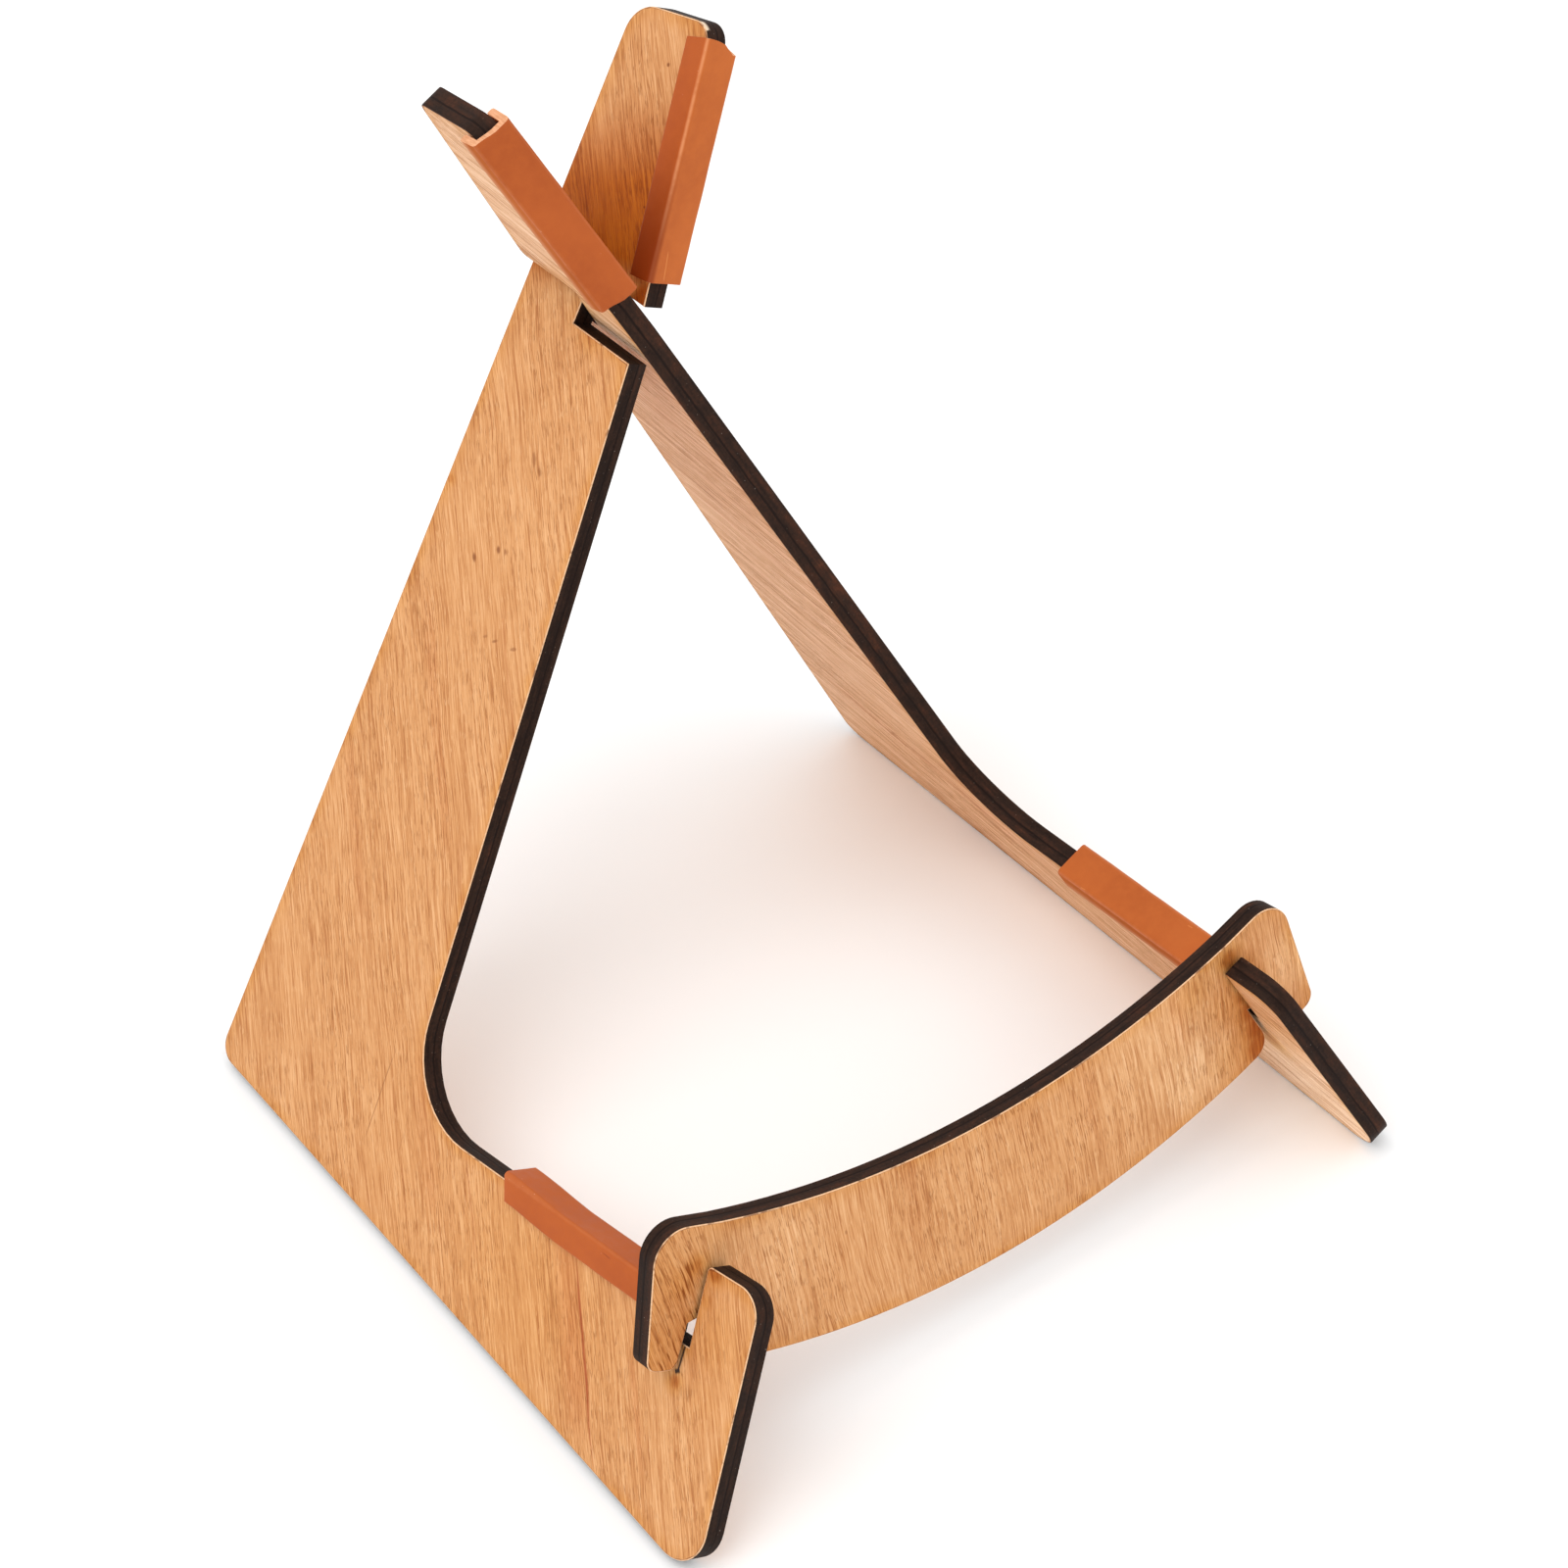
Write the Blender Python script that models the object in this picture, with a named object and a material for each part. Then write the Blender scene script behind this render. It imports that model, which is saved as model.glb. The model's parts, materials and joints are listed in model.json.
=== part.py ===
"""Ukulele stand: two leaning side boards, a curved front crossbar and four grip strips.

Lengths are in metres, +Z is up, the instrument faces -Y and +X is to the right.
The boards are laser-cut from one thickness of plywood and halve into each other.
"""
import math

import bmesh
import bpy
from mathutils import Matrix, Vector

# Sheet and fits
SHEET = 0.0050             # thickness of the two side boards
CROSSBAR_SHEET = 0.0050    # thickness of the crossbar
SEAT_GAP = 0.0003          # least gap between a piece and what it rests on
SLOT_SLACK = 0.0004        # play on each side of a board in a crossbar half-lap
NOTCH_SLACK = 0.0009       # play above and below a board in the top half-lap

# How the side boards stand
LEAN = math.radians(26.8)      # each board leans inward by this much
SPLAY = math.radians(1.65)     # and opens toward the front by this much
FOOT_SPREAD = 0.1717           # between the inner lower arrises, at the back

# Outline of a side board, measured along its foot and up its face
BASE_LENGTH = 0.1772
HEAD_RISE = 0.0573                 # back edge above the level where the boards cross
TOP_RISE = math.radians(14.6)      # slope of the top edge
TOP_FRONT_R = 0.0042
LEFT_TOP_BACK_R = 0.0080
RIGHT_TOP_BACK_R = 0.0035
UPRIGHT_FOOT = 0.0600              # where the upright's front line meets the foot line
UPRIGHT_LEAN = math.radians(7.3)
HEAD_LEAN = math.radians(12.1)     # lean of the front edge above the crossing
CROTCH_R = 0.0185                  # inner curve between upright and arm
ARM_HEIGHT = 0.0447                # top of the arm, at the crossbar's slot
ARM_RISE = math.radians(11.1)
FRONT_LEAN = math.radians(14.2)
HOOK_HEIGHT = 0.0594
HOOK_RISE = math.radians(13.9)
HOOK_FRONT_R = 0.0060
TOE_R = 0.0083
HEEL_R = 0.0045
NOSE_R = 0.0012                    # small round on slot mouths
NOTCH_MOUTH_R = 0.0016             # rounds on the mouth of the right board's notch

# Crossbar
HOOK_LENGTH = 0.0171               # from the front end of the foot to the crossbar
CROSSBAR_TILT = math.radians(14.4)     # its top leans back
BAR_MID_LOW = 0.0150               # lower edge at the middle, along its face
BAR_MID_HEIGHT = 0.0334
BAR_TOP_RADIUS = 0.212
BAR_LOW_RADIUS = 0.210
BAR_TAB = 0.0155                   # from a slot's middle line to the bar's end
BAR_TAB_RISE = 0.0350              # height of that measure above the lower edge's middle
BAR_END_LEAN = math.radians(13.8)
BAR_TOP_R = 0.0110
BAR_LOW_R = 0.0030
BAR_MOUTH_INNER_R = 0.0045         # rounds on the mouths of its two slots
BAR_MOUTH_OUTER_R = 0.0020
BAR_SLOT_RISE = 0.0254             # ceiling of its slots above the lower edge's middle
BAR_SETTLE = math.radians(1.65)    # the bar is pushed home on the right, less on the left

# Grip strips: a U-shaped section pressed over an edge
STRIP_WALL = 0.0016
STRIP_DEPTH = 0.0062
STRIP_ARRIS_R = 0.0009
STRIP_LIP_R = 0.0006
UPPER_STRIP_PARTING = 0.0006       # half the gap between the upper strips' lower ends
UPPER_STRIP_END = 0.0036           # from the board's top corner to the strip
LOWER_STRIP_SETBACK = 0.0152       # from the end of the inner curve to the strip
LOWER_STRIP_END = 0.0008           # from the crossbar's slot to the strip

ARC_STEP = math.radians(9.0)
BAR_SLOT_TOP = BAR_MID_LOW + BAR_SLOT_RISE
BAR_END_LEVEL = BAR_MID_LOW + BAR_TAB_RISE

WOOD_FACE = (0.70, 0.42, 0.20, 1.0)
WOOD_PALE = (0.76, 0.50, 0.28, 1.0)
SILICONE = (0.53, 0.13, 0.035, 1.0)


def clear_scene():
    for item in list(bpy.data.objects):
        bpy.data.objects.remove(item, do_unlink=True)


def material(name, colour, roughness):
    mat = bpy.data.materials.new(name)
    mat.use_nodes = True
    shader = mat.node_tree.nodes["Principled BSDF"]
    shader.inputs["Base Color"].default_value = colour
    shader.inputs["Roughness"].default_value = roughness
    shader.inputs["Metallic"].default_value = 0.0
    return mat


def meet(point_a, slope_a, point_b, slope_b):
    """Crossing of two lines, each given by a point and a direction."""
    pa = Vector(point_a)
    pb = Vector(point_b)
    da = Vector(slope_a)
    db = Vector(slope_b)
    along = (pb - pa).cross(db) / da.cross(db)
    return pa + da * along


def rounded(corners):
    """Outline through corners (point, radius), each turned into a short arc."""
    points = []
    count = len(corners)
    for index, (corner, radius) in enumerate(corners):
        corner = Vector(corner)
        before = Vector(corners[index - 1][0]) - corner
        after = Vector(corners[(index + 1) % count][0]) - corner
        if radius <= 0.0:
            points.append(corner)
            continue
        half = before.angle(after) / 2.0
        reach = min(radius / math.tan(half), 0.49 * before.length, 0.49 * after.length)
        true_radius = reach * math.tan(half)
        inward = (before.normalized() + after.normalized()).normalized()
        centre = corner + inward * (true_radius / math.sin(half))
        start = corner + before.normalized() * reach - centre
        finish = corner + after.normalized() * reach - centre
        sweep = start.angle_signed(finish)
        steps = max(2, math.ceil(abs(sweep) / ARC_STEP))
        for step in range(steps + 1):
            turn = -sweep * step / steps
            points.append(centre + Matrix.Rotation(turn, 2) @ start)
    return points


def prism(name, outline, depth, frame, mat):
    """Solid with the outline in the frame's XY plane, from z = 0 to z = depth."""
    bm = bmesh.new()
    base = [bm.verts.new((p[0], p[1], 0.0)) for p in outline]
    face = bm.faces.new(base)
    grown = bmesh.ops.extrude_face_region(bm, geom=[face])
    tops = [item for item in grown["geom"] if isinstance(item, bmesh.types.BMVert)]
    bmesh.ops.translate(bm, verts=tops, vec=(0.0, 0.0, depth))
    bmesh.ops.recalc_face_normals(bm, faces=bm.faces)
    mesh = bpy.data.meshes.new(name)
    bm.to_mesh(mesh)
    bm.free()
    mesh.shade_smooth()
    mesh.set_sharp_from_angle(angle=math.radians(30.0))
    item = bpy.data.objects.new(name, mesh)
    bpy.context.scene.collection.objects.link(item)
    item.data.materials.append(mat)
    item.matrix_world = frame
    return item


def board_axes(side):
    """Directions of a board: along its foot to the front, up its face, and inward."""
    along = Vector((side * math.sin(SPLAY), -math.cos(SPLAY), 0.0))
    inward_flat = Vector((-side * math.cos(SPLAY), -math.sin(SPLAY), 0.0))
    up = inward_flat * math.sin(LEAN) + Vector((0.0, 0.0, math.cos(LEAN)))
    inward = inward_flat * math.cos(LEAN) - Vector((0.0, 0.0, math.sin(LEAN)))
    return along, up, inward


def board_origin(side):
    """Back end of the board's foot, on its outer face; it stands on its inner arris."""
    foot = Vector((side * FOOT_SPREAD / 2.0, 0.0, 0.0))
    return foot - board_axes(side)[2] * SHEET


def frame_from(origin, x_axis, y_axis):
    z_axis = x_axis.cross(y_axis)
    turn = Matrix((x_axis, y_axis, z_axis)).transposed()
    return Matrix.Translation(origin) @ turn.to_4x4()


def board_frame(side):
    along, up, _ = board_axes(side)
    return frame_from(board_origin(side), along, up)


def bar_axes():
    across = Vector((1.0, 0.0, 0.0))
    up = Vector((0.0, math.sin(CROSSBAR_TILT), math.cos(CROSSBAR_TILT)))
    return across, up, up.cross(across)


def bar_origin():
    """Foot of the crossbar's front face, in the middle."""
    along, _, inward = board_axes(-1)
    start = board_origin(-1) + inward * (SHEET / 2.0)
    seat = start + along * (BASE_LENGTH - HOOK_LENGTH)
    rise = seat.z
    return Vector((0.0, seat.y - rise * math.tan(CROSSBAR_TILT), 0.0))


def bar_trace():
    """Crossbar's planes as seen in a board's face: mid line, its direction and slot width."""
    along, up, inward = board_axes(-1)
    _, _, normal = bar_axes()
    origin = board_origin(-1) + inward * (SHEET / 2.0)
    middle = bar_origin() + normal * (CROSSBAR_SHEET / 2.0)
    run = normal.dot(along)
    rise = normal.dot(up)
    skew = normal.dot(inward)
    flat = math.hypot(run, rise)
    foot = Vector(((middle - origin).dot(normal) / run, 0.0))
    direction = Vector((-rise, run)) / flat
    if direction.y < 0.0:
        direction = -direction
    width = (CROSSBAR_SHEET + SHEET * abs(skew)) / flat + 2.0 * SLOT_SLACK
    return foot, direction, width


def board_trace():
    """Left board's mid plane in the crossbar's face: a point, its direction and slot width."""
    across, up, normal = bar_axes()
    _, _, inward = board_axes(-1)
    origin = bar_origin() + normal * (CROSSBAR_SHEET / 2.0)
    middle = board_origin(-1) + inward * (SHEET / 2.0)
    run = inward.dot(across)
    rise = inward.dot(up)
    skew = inward.dot(normal)
    flat = math.hypot(run, rise)
    point = Vector(((middle - origin).dot(inward) / run, 0.0))
    direction = Vector((-rise, run)) / flat
    turned = abs(math.sin(BAR_SETTLE)) * BAR_SLOT_TOP / 4.0
    width = (SHEET + CROSSBAR_SHEET * abs(skew)) / flat + 2.0 * SLOT_SLACK + turned
    return point, direction, width


def crossing_line():
    """Where the two side boards' mid planes meet, in a board's face, and the notch width."""
    along, up, inward = board_axes(-1)
    middle = board_origin(-1) + inward * (SHEET / 2.0)
    point = Vector((0.0, -middle.x / up.x))
    direction = Vector((1.0, -along.x / up.x)).normalized()
    twice = math.acos(board_axes(1)[2].dot(inward) * -1.0)
    between = math.pi - twice if twice > math.pi / 2.0 else twice
    width = SHEET / math.sin(between) + SHEET / math.tan(between) + 2.0 * NOTCH_SLACK
    return point, direction, width


def front_line():
    return Vector((BASE_LENGTH, 0.0)), Vector((-math.sin(FRONT_LEAN), math.cos(FRONT_LEAN)))


def upright_line():
    return Vector((UPRIGHT_FOOT, 0.0)), Vector((-math.sin(UPRIGHT_LEAN), math.cos(UPRIGHT_LEAN)))


def knee():
    """The front edge changes its lean where the two boards cross."""
    point, direction, _ = crossing_line()
    foot, slope = upright_line()
    return meet(foot, slope, point, direction)


def head_line():
    return knee(), Vector((-math.sin(HEAD_LEAN), math.cos(HEAD_LEAN)))


def back_top():
    return Vector((0.0, crossing_line()[0].y + HEAD_RISE))


def top_line():
    return back_top(), Vector((math.cos(TOP_RISE), math.sin(TOP_RISE)))


def top_corner():
    return meet(*head_line(), *top_line())


def slot_corners():
    """Crossbar slot in a board: front wall, floor and back wall."""
    foot, direction, width = bar_trace()
    across = Vector((direction.y, -direction.x))
    front = foot + across * (width / 2.0)
    back = foot - across * (width / 2.0)
    return front, back, direction


def settled_ceiling():
    """Height, in a board's face, of the crossbar slot's ceiling where the bar is home."""
    across, rise, normal = bar_axes()
    _, _, inward = board_axes(-1)
    point, direction, _ = board_trace()
    turn = bar_turn()
    middle = bar_origin() + normal * (CROSSBAR_SHEET / 2.0)
    x_mid = point.x + direction.x / direction.y * BAR_SLOT_TOP
    reach = SHEET / 2.0 / inward.dot(across)
    heights = []
    for x_at in (x_mid - reach, x_mid + reach):
        moved = turn((-x_at, BAR_SLOT_TOP))
        spot = middle + across * moved.x + rise * moved.y
        heights.append((spot - board_origin(1)).dot(board_axes(1)[1]))
    return min(heights)


def bar_pivot():
    """Point in the crossbar's face about which it can rock in its slots."""
    point, direction, _ = board_trace()
    seat = point + direction * (BAR_SLOT_TOP / direction.y)
    return seat.y + seat.x * direction.x / direction.y


def bar_turn():
    """The bar rocks in its slots: the right end goes down and the left end comes up."""
    level = bar_pivot()
    spin = Matrix.Rotation(-BAR_SETTLE, 2)

    def turn(point):
        pivot = Vector((0.0, level))
        return spin @ (Vector(point) - pivot) + pivot

    return turn


def board_outline(side):
    front_foot, front_slope = front_line()
    hook_top = front_foot + front_slope * (HOOK_HEIGHT / front_slope.y)
    hook_slope = Vector((math.cos(HOOK_RISE), math.sin(HOOK_RISE)))
    wall_front, wall_back, wall = slot_corners()
    floor_height = settled_ceiling() - SEAT_GAP
    nose = meet(hook_top, hook_slope, wall_front, wall)
    foot, direction, _ = bar_trace()
    floor_mid = foot + direction * (floor_height / direction.y)
    floor_slope = Vector((direction.y, -direction.x))
    floor_front = meet(floor_mid, floor_slope, wall_front, wall)
    floor_back = meet(floor_mid, floor_slope, wall_back, wall)
    arm_slope = Vector((math.cos(ARM_RISE), math.sin(ARM_RISE)))
    arm_front = wall_back + wall * (ARM_HEIGHT / wall.y)
    crotch = meet(arm_front, arm_slope, *upright_line())
    corners = [
        ((0.0, 0.0), HEEL_R),
        (front_foot, TOE_R),
        (hook_top, HOOK_FRONT_R),
        (nose, NOSE_R),
        (floor_front, 0.0),
        (floor_back, 0.0),
        (arm_front, NOSE_R),
        (crotch, CROTCH_R),
    ]
    point, run, width = crossing_line()
    rise = Vector((-run.y, run.x))
    low = point - rise * (width / 2.0)
    high = point + rise * (width / 2.0)
    half = knee().x / 2.0
    if side < 0:
        end = half - SEAT_GAP
        corners.append((meet(low, run, *upright_line()), 0.0))
        corners.append((low + run * (end - low.x) / run.x, 0.0))
        corners.append((high + run * (end - high.x) / run.x, 0.0))
        corners.append((meet(high, run, *head_line()), 0.0))
    else:
        corners.append((knee(), 0.0))
    corners.append((top_corner(), TOP_FRONT_R))
    back_round = LEFT_TOP_BACK_R if side < 0 else RIGHT_TOP_BACK_R
    corners.append((back_top(), back_round))
    if side > 0:
        end = half + SEAT_GAP
        mouth_high = high - run * high.x / run.x
        mouth_low = low - run * low.x / run.x
        corners.append((mouth_high, NOTCH_MOUTH_R))
        corners.append((high + run * (end - high.x) / run.x, 0.0))
        corners.append((low + run * (end - low.x) / run.x, 0.0))
        corners.append((mouth_low, NOTCH_MOUTH_R))
    return rounded(corners)


def make_board(side, name, mat):
    outline = board_outline(side)
    depth = SHEET if side > 0 else -SHEET
    return prism(name, outline, depth, board_frame(side), mat)


def bar_arc(x, mid, radius):
    return mid + radius - math.sqrt(radius * radius - x * x)


def bar_outline():
    """Crossbar outline in its own face, with a slot from below near each end."""
    slope = math.tan(BAR_END_LEAN)
    top_mid = BAR_MID_LOW + BAR_MID_HEIGHT
    point, run, width = board_trace()
    half = BAR_TAB - point.x - run.x / run.y * BAR_END_LEVEL
    end_top = half
    end_low = half
    for _ in range(12):
        level = bar_arc(end_top, top_mid, BAR_TOP_RADIUS)
        end_top = half - slope * (level - BAR_END_LEVEL)
        level = bar_arc(end_low, BAR_MID_LOW, BAR_LOW_RADIUS)
        end_low = half - slope * (level - BAR_END_LEVEL)
    across = Vector((run.y, -run.x))
    walls = [point + across * (sign * width / 2.0) for sign in (-1.0, 1.0)]
    mouths = []
    for wall in walls:
        low = Vector((-half, BAR_MID_LOW))
        for _ in range(12):
            low = wall + run * (bar_arc(low.x, BAR_MID_LOW, BAR_LOW_RADIUS) - wall.y) / run.y
        mouths.append(low)
    tops = [wall + run * (BAR_SLOT_TOP - wall.y) / run.y for wall in walls]
    reach = BAR_TOP_R * 1.35
    pieces = []
    steps = 28
    for step in range(steps + 1):
        x = (end_top - reach) * (2.0 * step / steps - 1.0)
        pieces.append((Vector((x, bar_arc(x, top_mid, BAR_TOP_RADIUS))), 0.0))
    pieces.append((Vector((end_top, bar_arc(end_top, top_mid, BAR_TOP_RADIUS))), BAR_TOP_R))
    right_low = Vector((end_low, bar_arc(end_low, BAR_MID_LOW, BAR_LOW_RADIUS)))
    pieces.append((right_low, BAR_LOW_R))
    pieces.append((Vector((-mouths[0].x, mouths[0].y)), BAR_MOUTH_OUTER_R))
    pieces.append((Vector((-tops[0].x, tops[0].y)), 0.0))
    pieces.append((Vector((-tops[1].x, tops[1].y)), 0.0))
    pieces.append((Vector((-mouths[1].x, mouths[1].y)), BAR_MOUTH_INNER_R))
    inner = mouths[1].x + BAR_MOUTH_INNER_R * 2.0
    for step in range(steps + 1):
        x = -inner * (1.0 - 2.0 * step / steps)
        pieces.append((Vector((x, bar_arc(x, BAR_MID_LOW, BAR_LOW_RADIUS))), 0.0))
    pieces.append((mouths[1], BAR_MOUTH_INNER_R))
    pieces.append((tops[1], 0.0))
    pieces.append((tops[0], 0.0))
    pieces.append((mouths[0], BAR_MOUTH_OUTER_R))
    pieces.append((Vector((-right_low.x, right_low.y)), BAR_LOW_R))
    left_top = Vector((-end_top, bar_arc(end_top, top_mid, BAR_TOP_RADIUS)))
    pieces.append((left_top, BAR_TOP_R))
    return rounded(pieces)


def make_bar(name, mat):
    turn = bar_turn()
    outline = [turn(point) for point in bar_outline()]
    across, up, normal = bar_axes()
    frame = frame_from(bar_origin(), across, up)
    return prism(name, outline, -CROSSBAR_SHEET, frame, mat)


def strip_section():
    """U section: x across the board, y outward from the edge that it covers."""
    half = SHEET / 2.0 + SEAT_GAP
    wide = half + STRIP_WALL
    top = SEAT_GAP + STRIP_WALL
    low = top - STRIP_DEPTH
    corners = [
        ((-wide, low), STRIP_LIP_R),
        ((-half, low), STRIP_LIP_R * 0.6),
        ((-half, SEAT_GAP), 0.0),
        ((half, SEAT_GAP), 0.0),
        ((half, low), STRIP_LIP_R * 0.6),
        ((wide, low), STRIP_LIP_R),
        ((wide, top), STRIP_ARRIS_R),
        ((-wide, top), STRIP_ARRIS_R),
    ]
    return rounded(corners)


def make_strip(side, name, start, direction, facing, length, mat):
    """Strip along a board's edge, from start (in the board's face) toward direction."""
    along, up, inward = board_axes(side)
    run = along * direction.x + up * direction.y
    outward = along * facing.x + up * facing.y
    seat = board_origin(side) + along * start.x + up * start.y + inward * (SHEET / 2.0)
    frame = frame_from(seat, outward.cross(run), outward)
    return prism(name, strip_section(), length, frame, mat)


def upper_strip(side, name, mat):
    """From just above the crossing to just below the board's top corner."""
    foot, slope = head_line()
    half_width = SHEET / 2.0 + SEAT_GAP + STRIP_WALL
    parting = (half_width * math.cos(LEAN) + UPPER_STRIP_PARTING) / math.sin(LEAN)
    start = foot + slope * (parting / slope.y)
    length = (top_corner() - start).length - UPPER_STRIP_END
    facing = Vector((slope.y, -slope.x))
    return make_strip(side, name, start, slope, facing, length, mat)


def lower_strip(side, name, mat):
    """From just past the inner curve to the crossbar's slot."""
    _, wall_back, wall = slot_corners()
    slope = Vector((math.cos(ARM_RISE), math.sin(ARM_RISE)))
    arm_front = wall_back + wall * (ARM_HEIGHT / wall.y)
    foot, rise = upright_line()
    crotch = meet(arm_front, slope, foot, rise)
    tangent = CROTCH_R / math.tan(slope.angle(rise) / 2.0)
    start = crotch + slope * (tangent + LOWER_STRIP_SETBACK)
    length = (arm_front - start).length - LOWER_STRIP_END
    facing = Vector((-slope.y, slope.x))
    return make_strip(side, name, start, slope, facing, length, mat)


def main():
    clear_scene()
    stand = bpy.data.objects.new("ukulele_stand", None)
    bpy.context.scene.collection.objects.link(stand)
    wood = material("plywood", WOOD_FACE, 0.55)
    pale = material("plywood_pale", WOOD_PALE, 0.55)
    bar_wood = material("plywood_crossbar", WOOD_FACE, 0.55)
    pieces = [
        make_board(-1, "left_side_board", wood),
        make_board(1, "right_side_board", pale),
        make_bar("front_crossbar", bar_wood),
    ]
    for side, word in ((-1, "left"), (1, "right")):
        for place, maker in (("upper", upper_strip), ("lower", lower_strip)):
            name = "%s_%s_grip_strip" % (word, place)
            silicone = material("silicone_%s_%s" % (word, place), SILICONE, 0.5)
            pieces.append(maker(side, name, silicone))
    bpy.context.view_layer.update()
    spots = [item.matrix_world @ vert.co for item in pieces for vert in item.data.vertices]
    middle = (min(p.y for p in spots) + max(p.y for p in spots)) / 2.0
    ground = min(p.z for p in spots)
    for item in pieces:
        item.parent = stand
    stand.location = (0.0, -middle, -ground)
    bpy.context.view_layer.update()


main()
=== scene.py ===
"""Ukulele stand: plywood grain, laser-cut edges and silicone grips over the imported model.

The file is laid out as an add-on and is run as a script. Lengths are in metres.
Marks on a board are placed in millimetres, along its foot and up its outer face, and those
on the crossbar along its length from the stand's middle. A tint is three factors, for red,
green and blue, over another colour.
"""
import json
import math

import bmesh
import bpy
import numpy as np
from bpy.props import FloatProperty, FloatVectorProperty, PointerProperty
from mathutils import Matrix, Vector

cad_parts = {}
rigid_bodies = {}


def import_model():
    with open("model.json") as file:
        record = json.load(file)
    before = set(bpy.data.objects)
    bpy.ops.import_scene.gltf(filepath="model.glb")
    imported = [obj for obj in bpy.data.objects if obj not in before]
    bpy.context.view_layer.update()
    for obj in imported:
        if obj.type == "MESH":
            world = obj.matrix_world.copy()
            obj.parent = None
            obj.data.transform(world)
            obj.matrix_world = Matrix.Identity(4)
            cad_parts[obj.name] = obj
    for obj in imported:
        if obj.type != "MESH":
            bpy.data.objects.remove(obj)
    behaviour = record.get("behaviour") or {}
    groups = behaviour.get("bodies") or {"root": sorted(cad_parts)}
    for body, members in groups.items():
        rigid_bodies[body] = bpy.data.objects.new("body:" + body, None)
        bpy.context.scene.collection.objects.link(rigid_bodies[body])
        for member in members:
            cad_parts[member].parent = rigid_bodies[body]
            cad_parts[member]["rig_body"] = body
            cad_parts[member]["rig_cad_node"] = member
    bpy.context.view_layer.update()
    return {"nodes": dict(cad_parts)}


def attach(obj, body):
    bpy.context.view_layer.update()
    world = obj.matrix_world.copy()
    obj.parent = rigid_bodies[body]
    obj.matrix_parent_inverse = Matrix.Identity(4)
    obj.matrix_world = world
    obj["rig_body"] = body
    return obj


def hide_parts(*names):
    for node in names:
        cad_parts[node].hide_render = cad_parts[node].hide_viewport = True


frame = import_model()

bl_info = {
    "name": "Ukulele Stand",
    "version": (1, 0, 0),
    "blender": (4, 5, 0),
    "location": "3D View > Sidebar > Stand",
    "description": "Plywood, charred edges and silicone grips of a flat-pack ukulele stand",
    "category": "Object",
}

MM = 0.001
UP = Vector((0.0, 0.0, 1.0))
FRONT = (0.0, -1.0, 0.0)
TO_LEFT = (-1.0, 0.0, 0.0)
TO_RIGHT = (1.0, 0.0, 0.0)

# Faces are picked by the cosine of the angle between their normal and a direction. Only
# EDGE_ON is a bound from above: such a face stands square to the other direction
FACING = 0.99
ASLANT = 0.30
EDGE_ON = 0.002
PALE_SLANT = 0.15
CUT_SLANT = 0.35
INWARD = -0.80
SMOOTH_BELOW = math.radians(20.0)

# Copying a CAD node: points nearer than this (m) are merged, and flatter edges dissolved.
# A mesh line goes through the points that are this near it, and a board's broad face that
# is whole has at least so many points
MERGE_BELOW = 0.00001
FLATTER_THAN = math.radians(0.5)
ON_LINE = 0.000002
FEWEST_POINTS = 20

# How each sheet lies: its CAD node, the ways its outer face and its length point, and
# whether marks are placed from its lower corner. Then its finish: the record's slot, the
# seed of its patterns, how russet its plies are and whether its outer arris is rubbed pale
SHEETS = {
    "left_board": {
        "node": "left_side_board", "outward": TO_LEFT, "forward": FRONT, "from_corner": True,
        "slot": "left_board_wood", "seed": 0.0, "russet": 0.0, "pale_arris": True},
    "right_board": {
        "node": "right_side_board", "outward": TO_RIGHT, "forward": FRONT,
        "from_corner": True, "slot": "right_board_wood", "seed": 1.3, "russet": 0.14,
        "pale_arris": False},
    "crossbar": {
        "node": "front_crossbar", "outward": FRONT, "forward": TO_RIGHT,
        "from_corner": False, "slot": "crossbar_wood", "seed": 2.6, "russet": 0.10,
        "pale_arris": True},
}
INNER_SEED_STEP = 3.7
ARRIS_SEGMENTS = 2

# Warm patches, mostly the laser's scorch and some painted shade: along the foot, up the face,
# radius (mm), strength
LEFT_WARM = (
    (151.6, 30.6, 3.4, 0.80), (157.5, 44.0, 10.0, 0.32), (160.0, 33.0, 8.0, 0.20),
    (149.4, 55.6, 3.8, 0.80), (153.2, 58.9, 3.8, 0.80), (157.6, 59.8, 3.8, 0.78),
    (161.6, 59.4, 4.2, 0.78), (165.2, 56.0, 4.0, 0.74), (166.6, 51.0, 3.6, 0.58),
    (168.0, 45.5, 3.6, 0.50), (170.0, 38.0, 3.6, 0.42), (149.8, 49.0, 2.8, 0.58),
    (149.9, 44.0, 2.6, 0.56), (150.4, 38.5, 3.0, 0.62), (18.6, 256.5, 4.5, 0.62),
    (14.6, 256.6, 3.4, 0.60), (10.6, 255.4, 3.2, 0.46), (23.0, 192.0, 6.0, 0.70),
    (38.0, 188.0, 6.0, 0.50), (1.0, 145.5, 2.2, 0.70), (62.0, 40.0, 12.0, 0.28),
    # On the next line, the patch of radius 60 mm is painted shade: the face darker towards the
    # foot
    (92.0, 33.0, 10.0, 0.22), (96.0, 8.0, 60.0, 0.12), (108.0, 20.0, 34.0, 0.34),
    # These two are painted shade, on the face below the left upper grip's lower end
    (32.5, 204.5, 5.5, 1.00), (31.0, 209.0, 4.0, 0.60),
)
RIGHT_WARM = (
    (152.0, 30.0, 8.0, 0.80), (160.0, 40.0, 12.0, 0.35), (2.0, 193.0, 10.0, 0.60),
    (14.0, 197.0, 10.0, 0.50), (18.0, 255.0, 8.0, 0.45), (58.0, 42.0, 14.0, 0.30),
)
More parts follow.
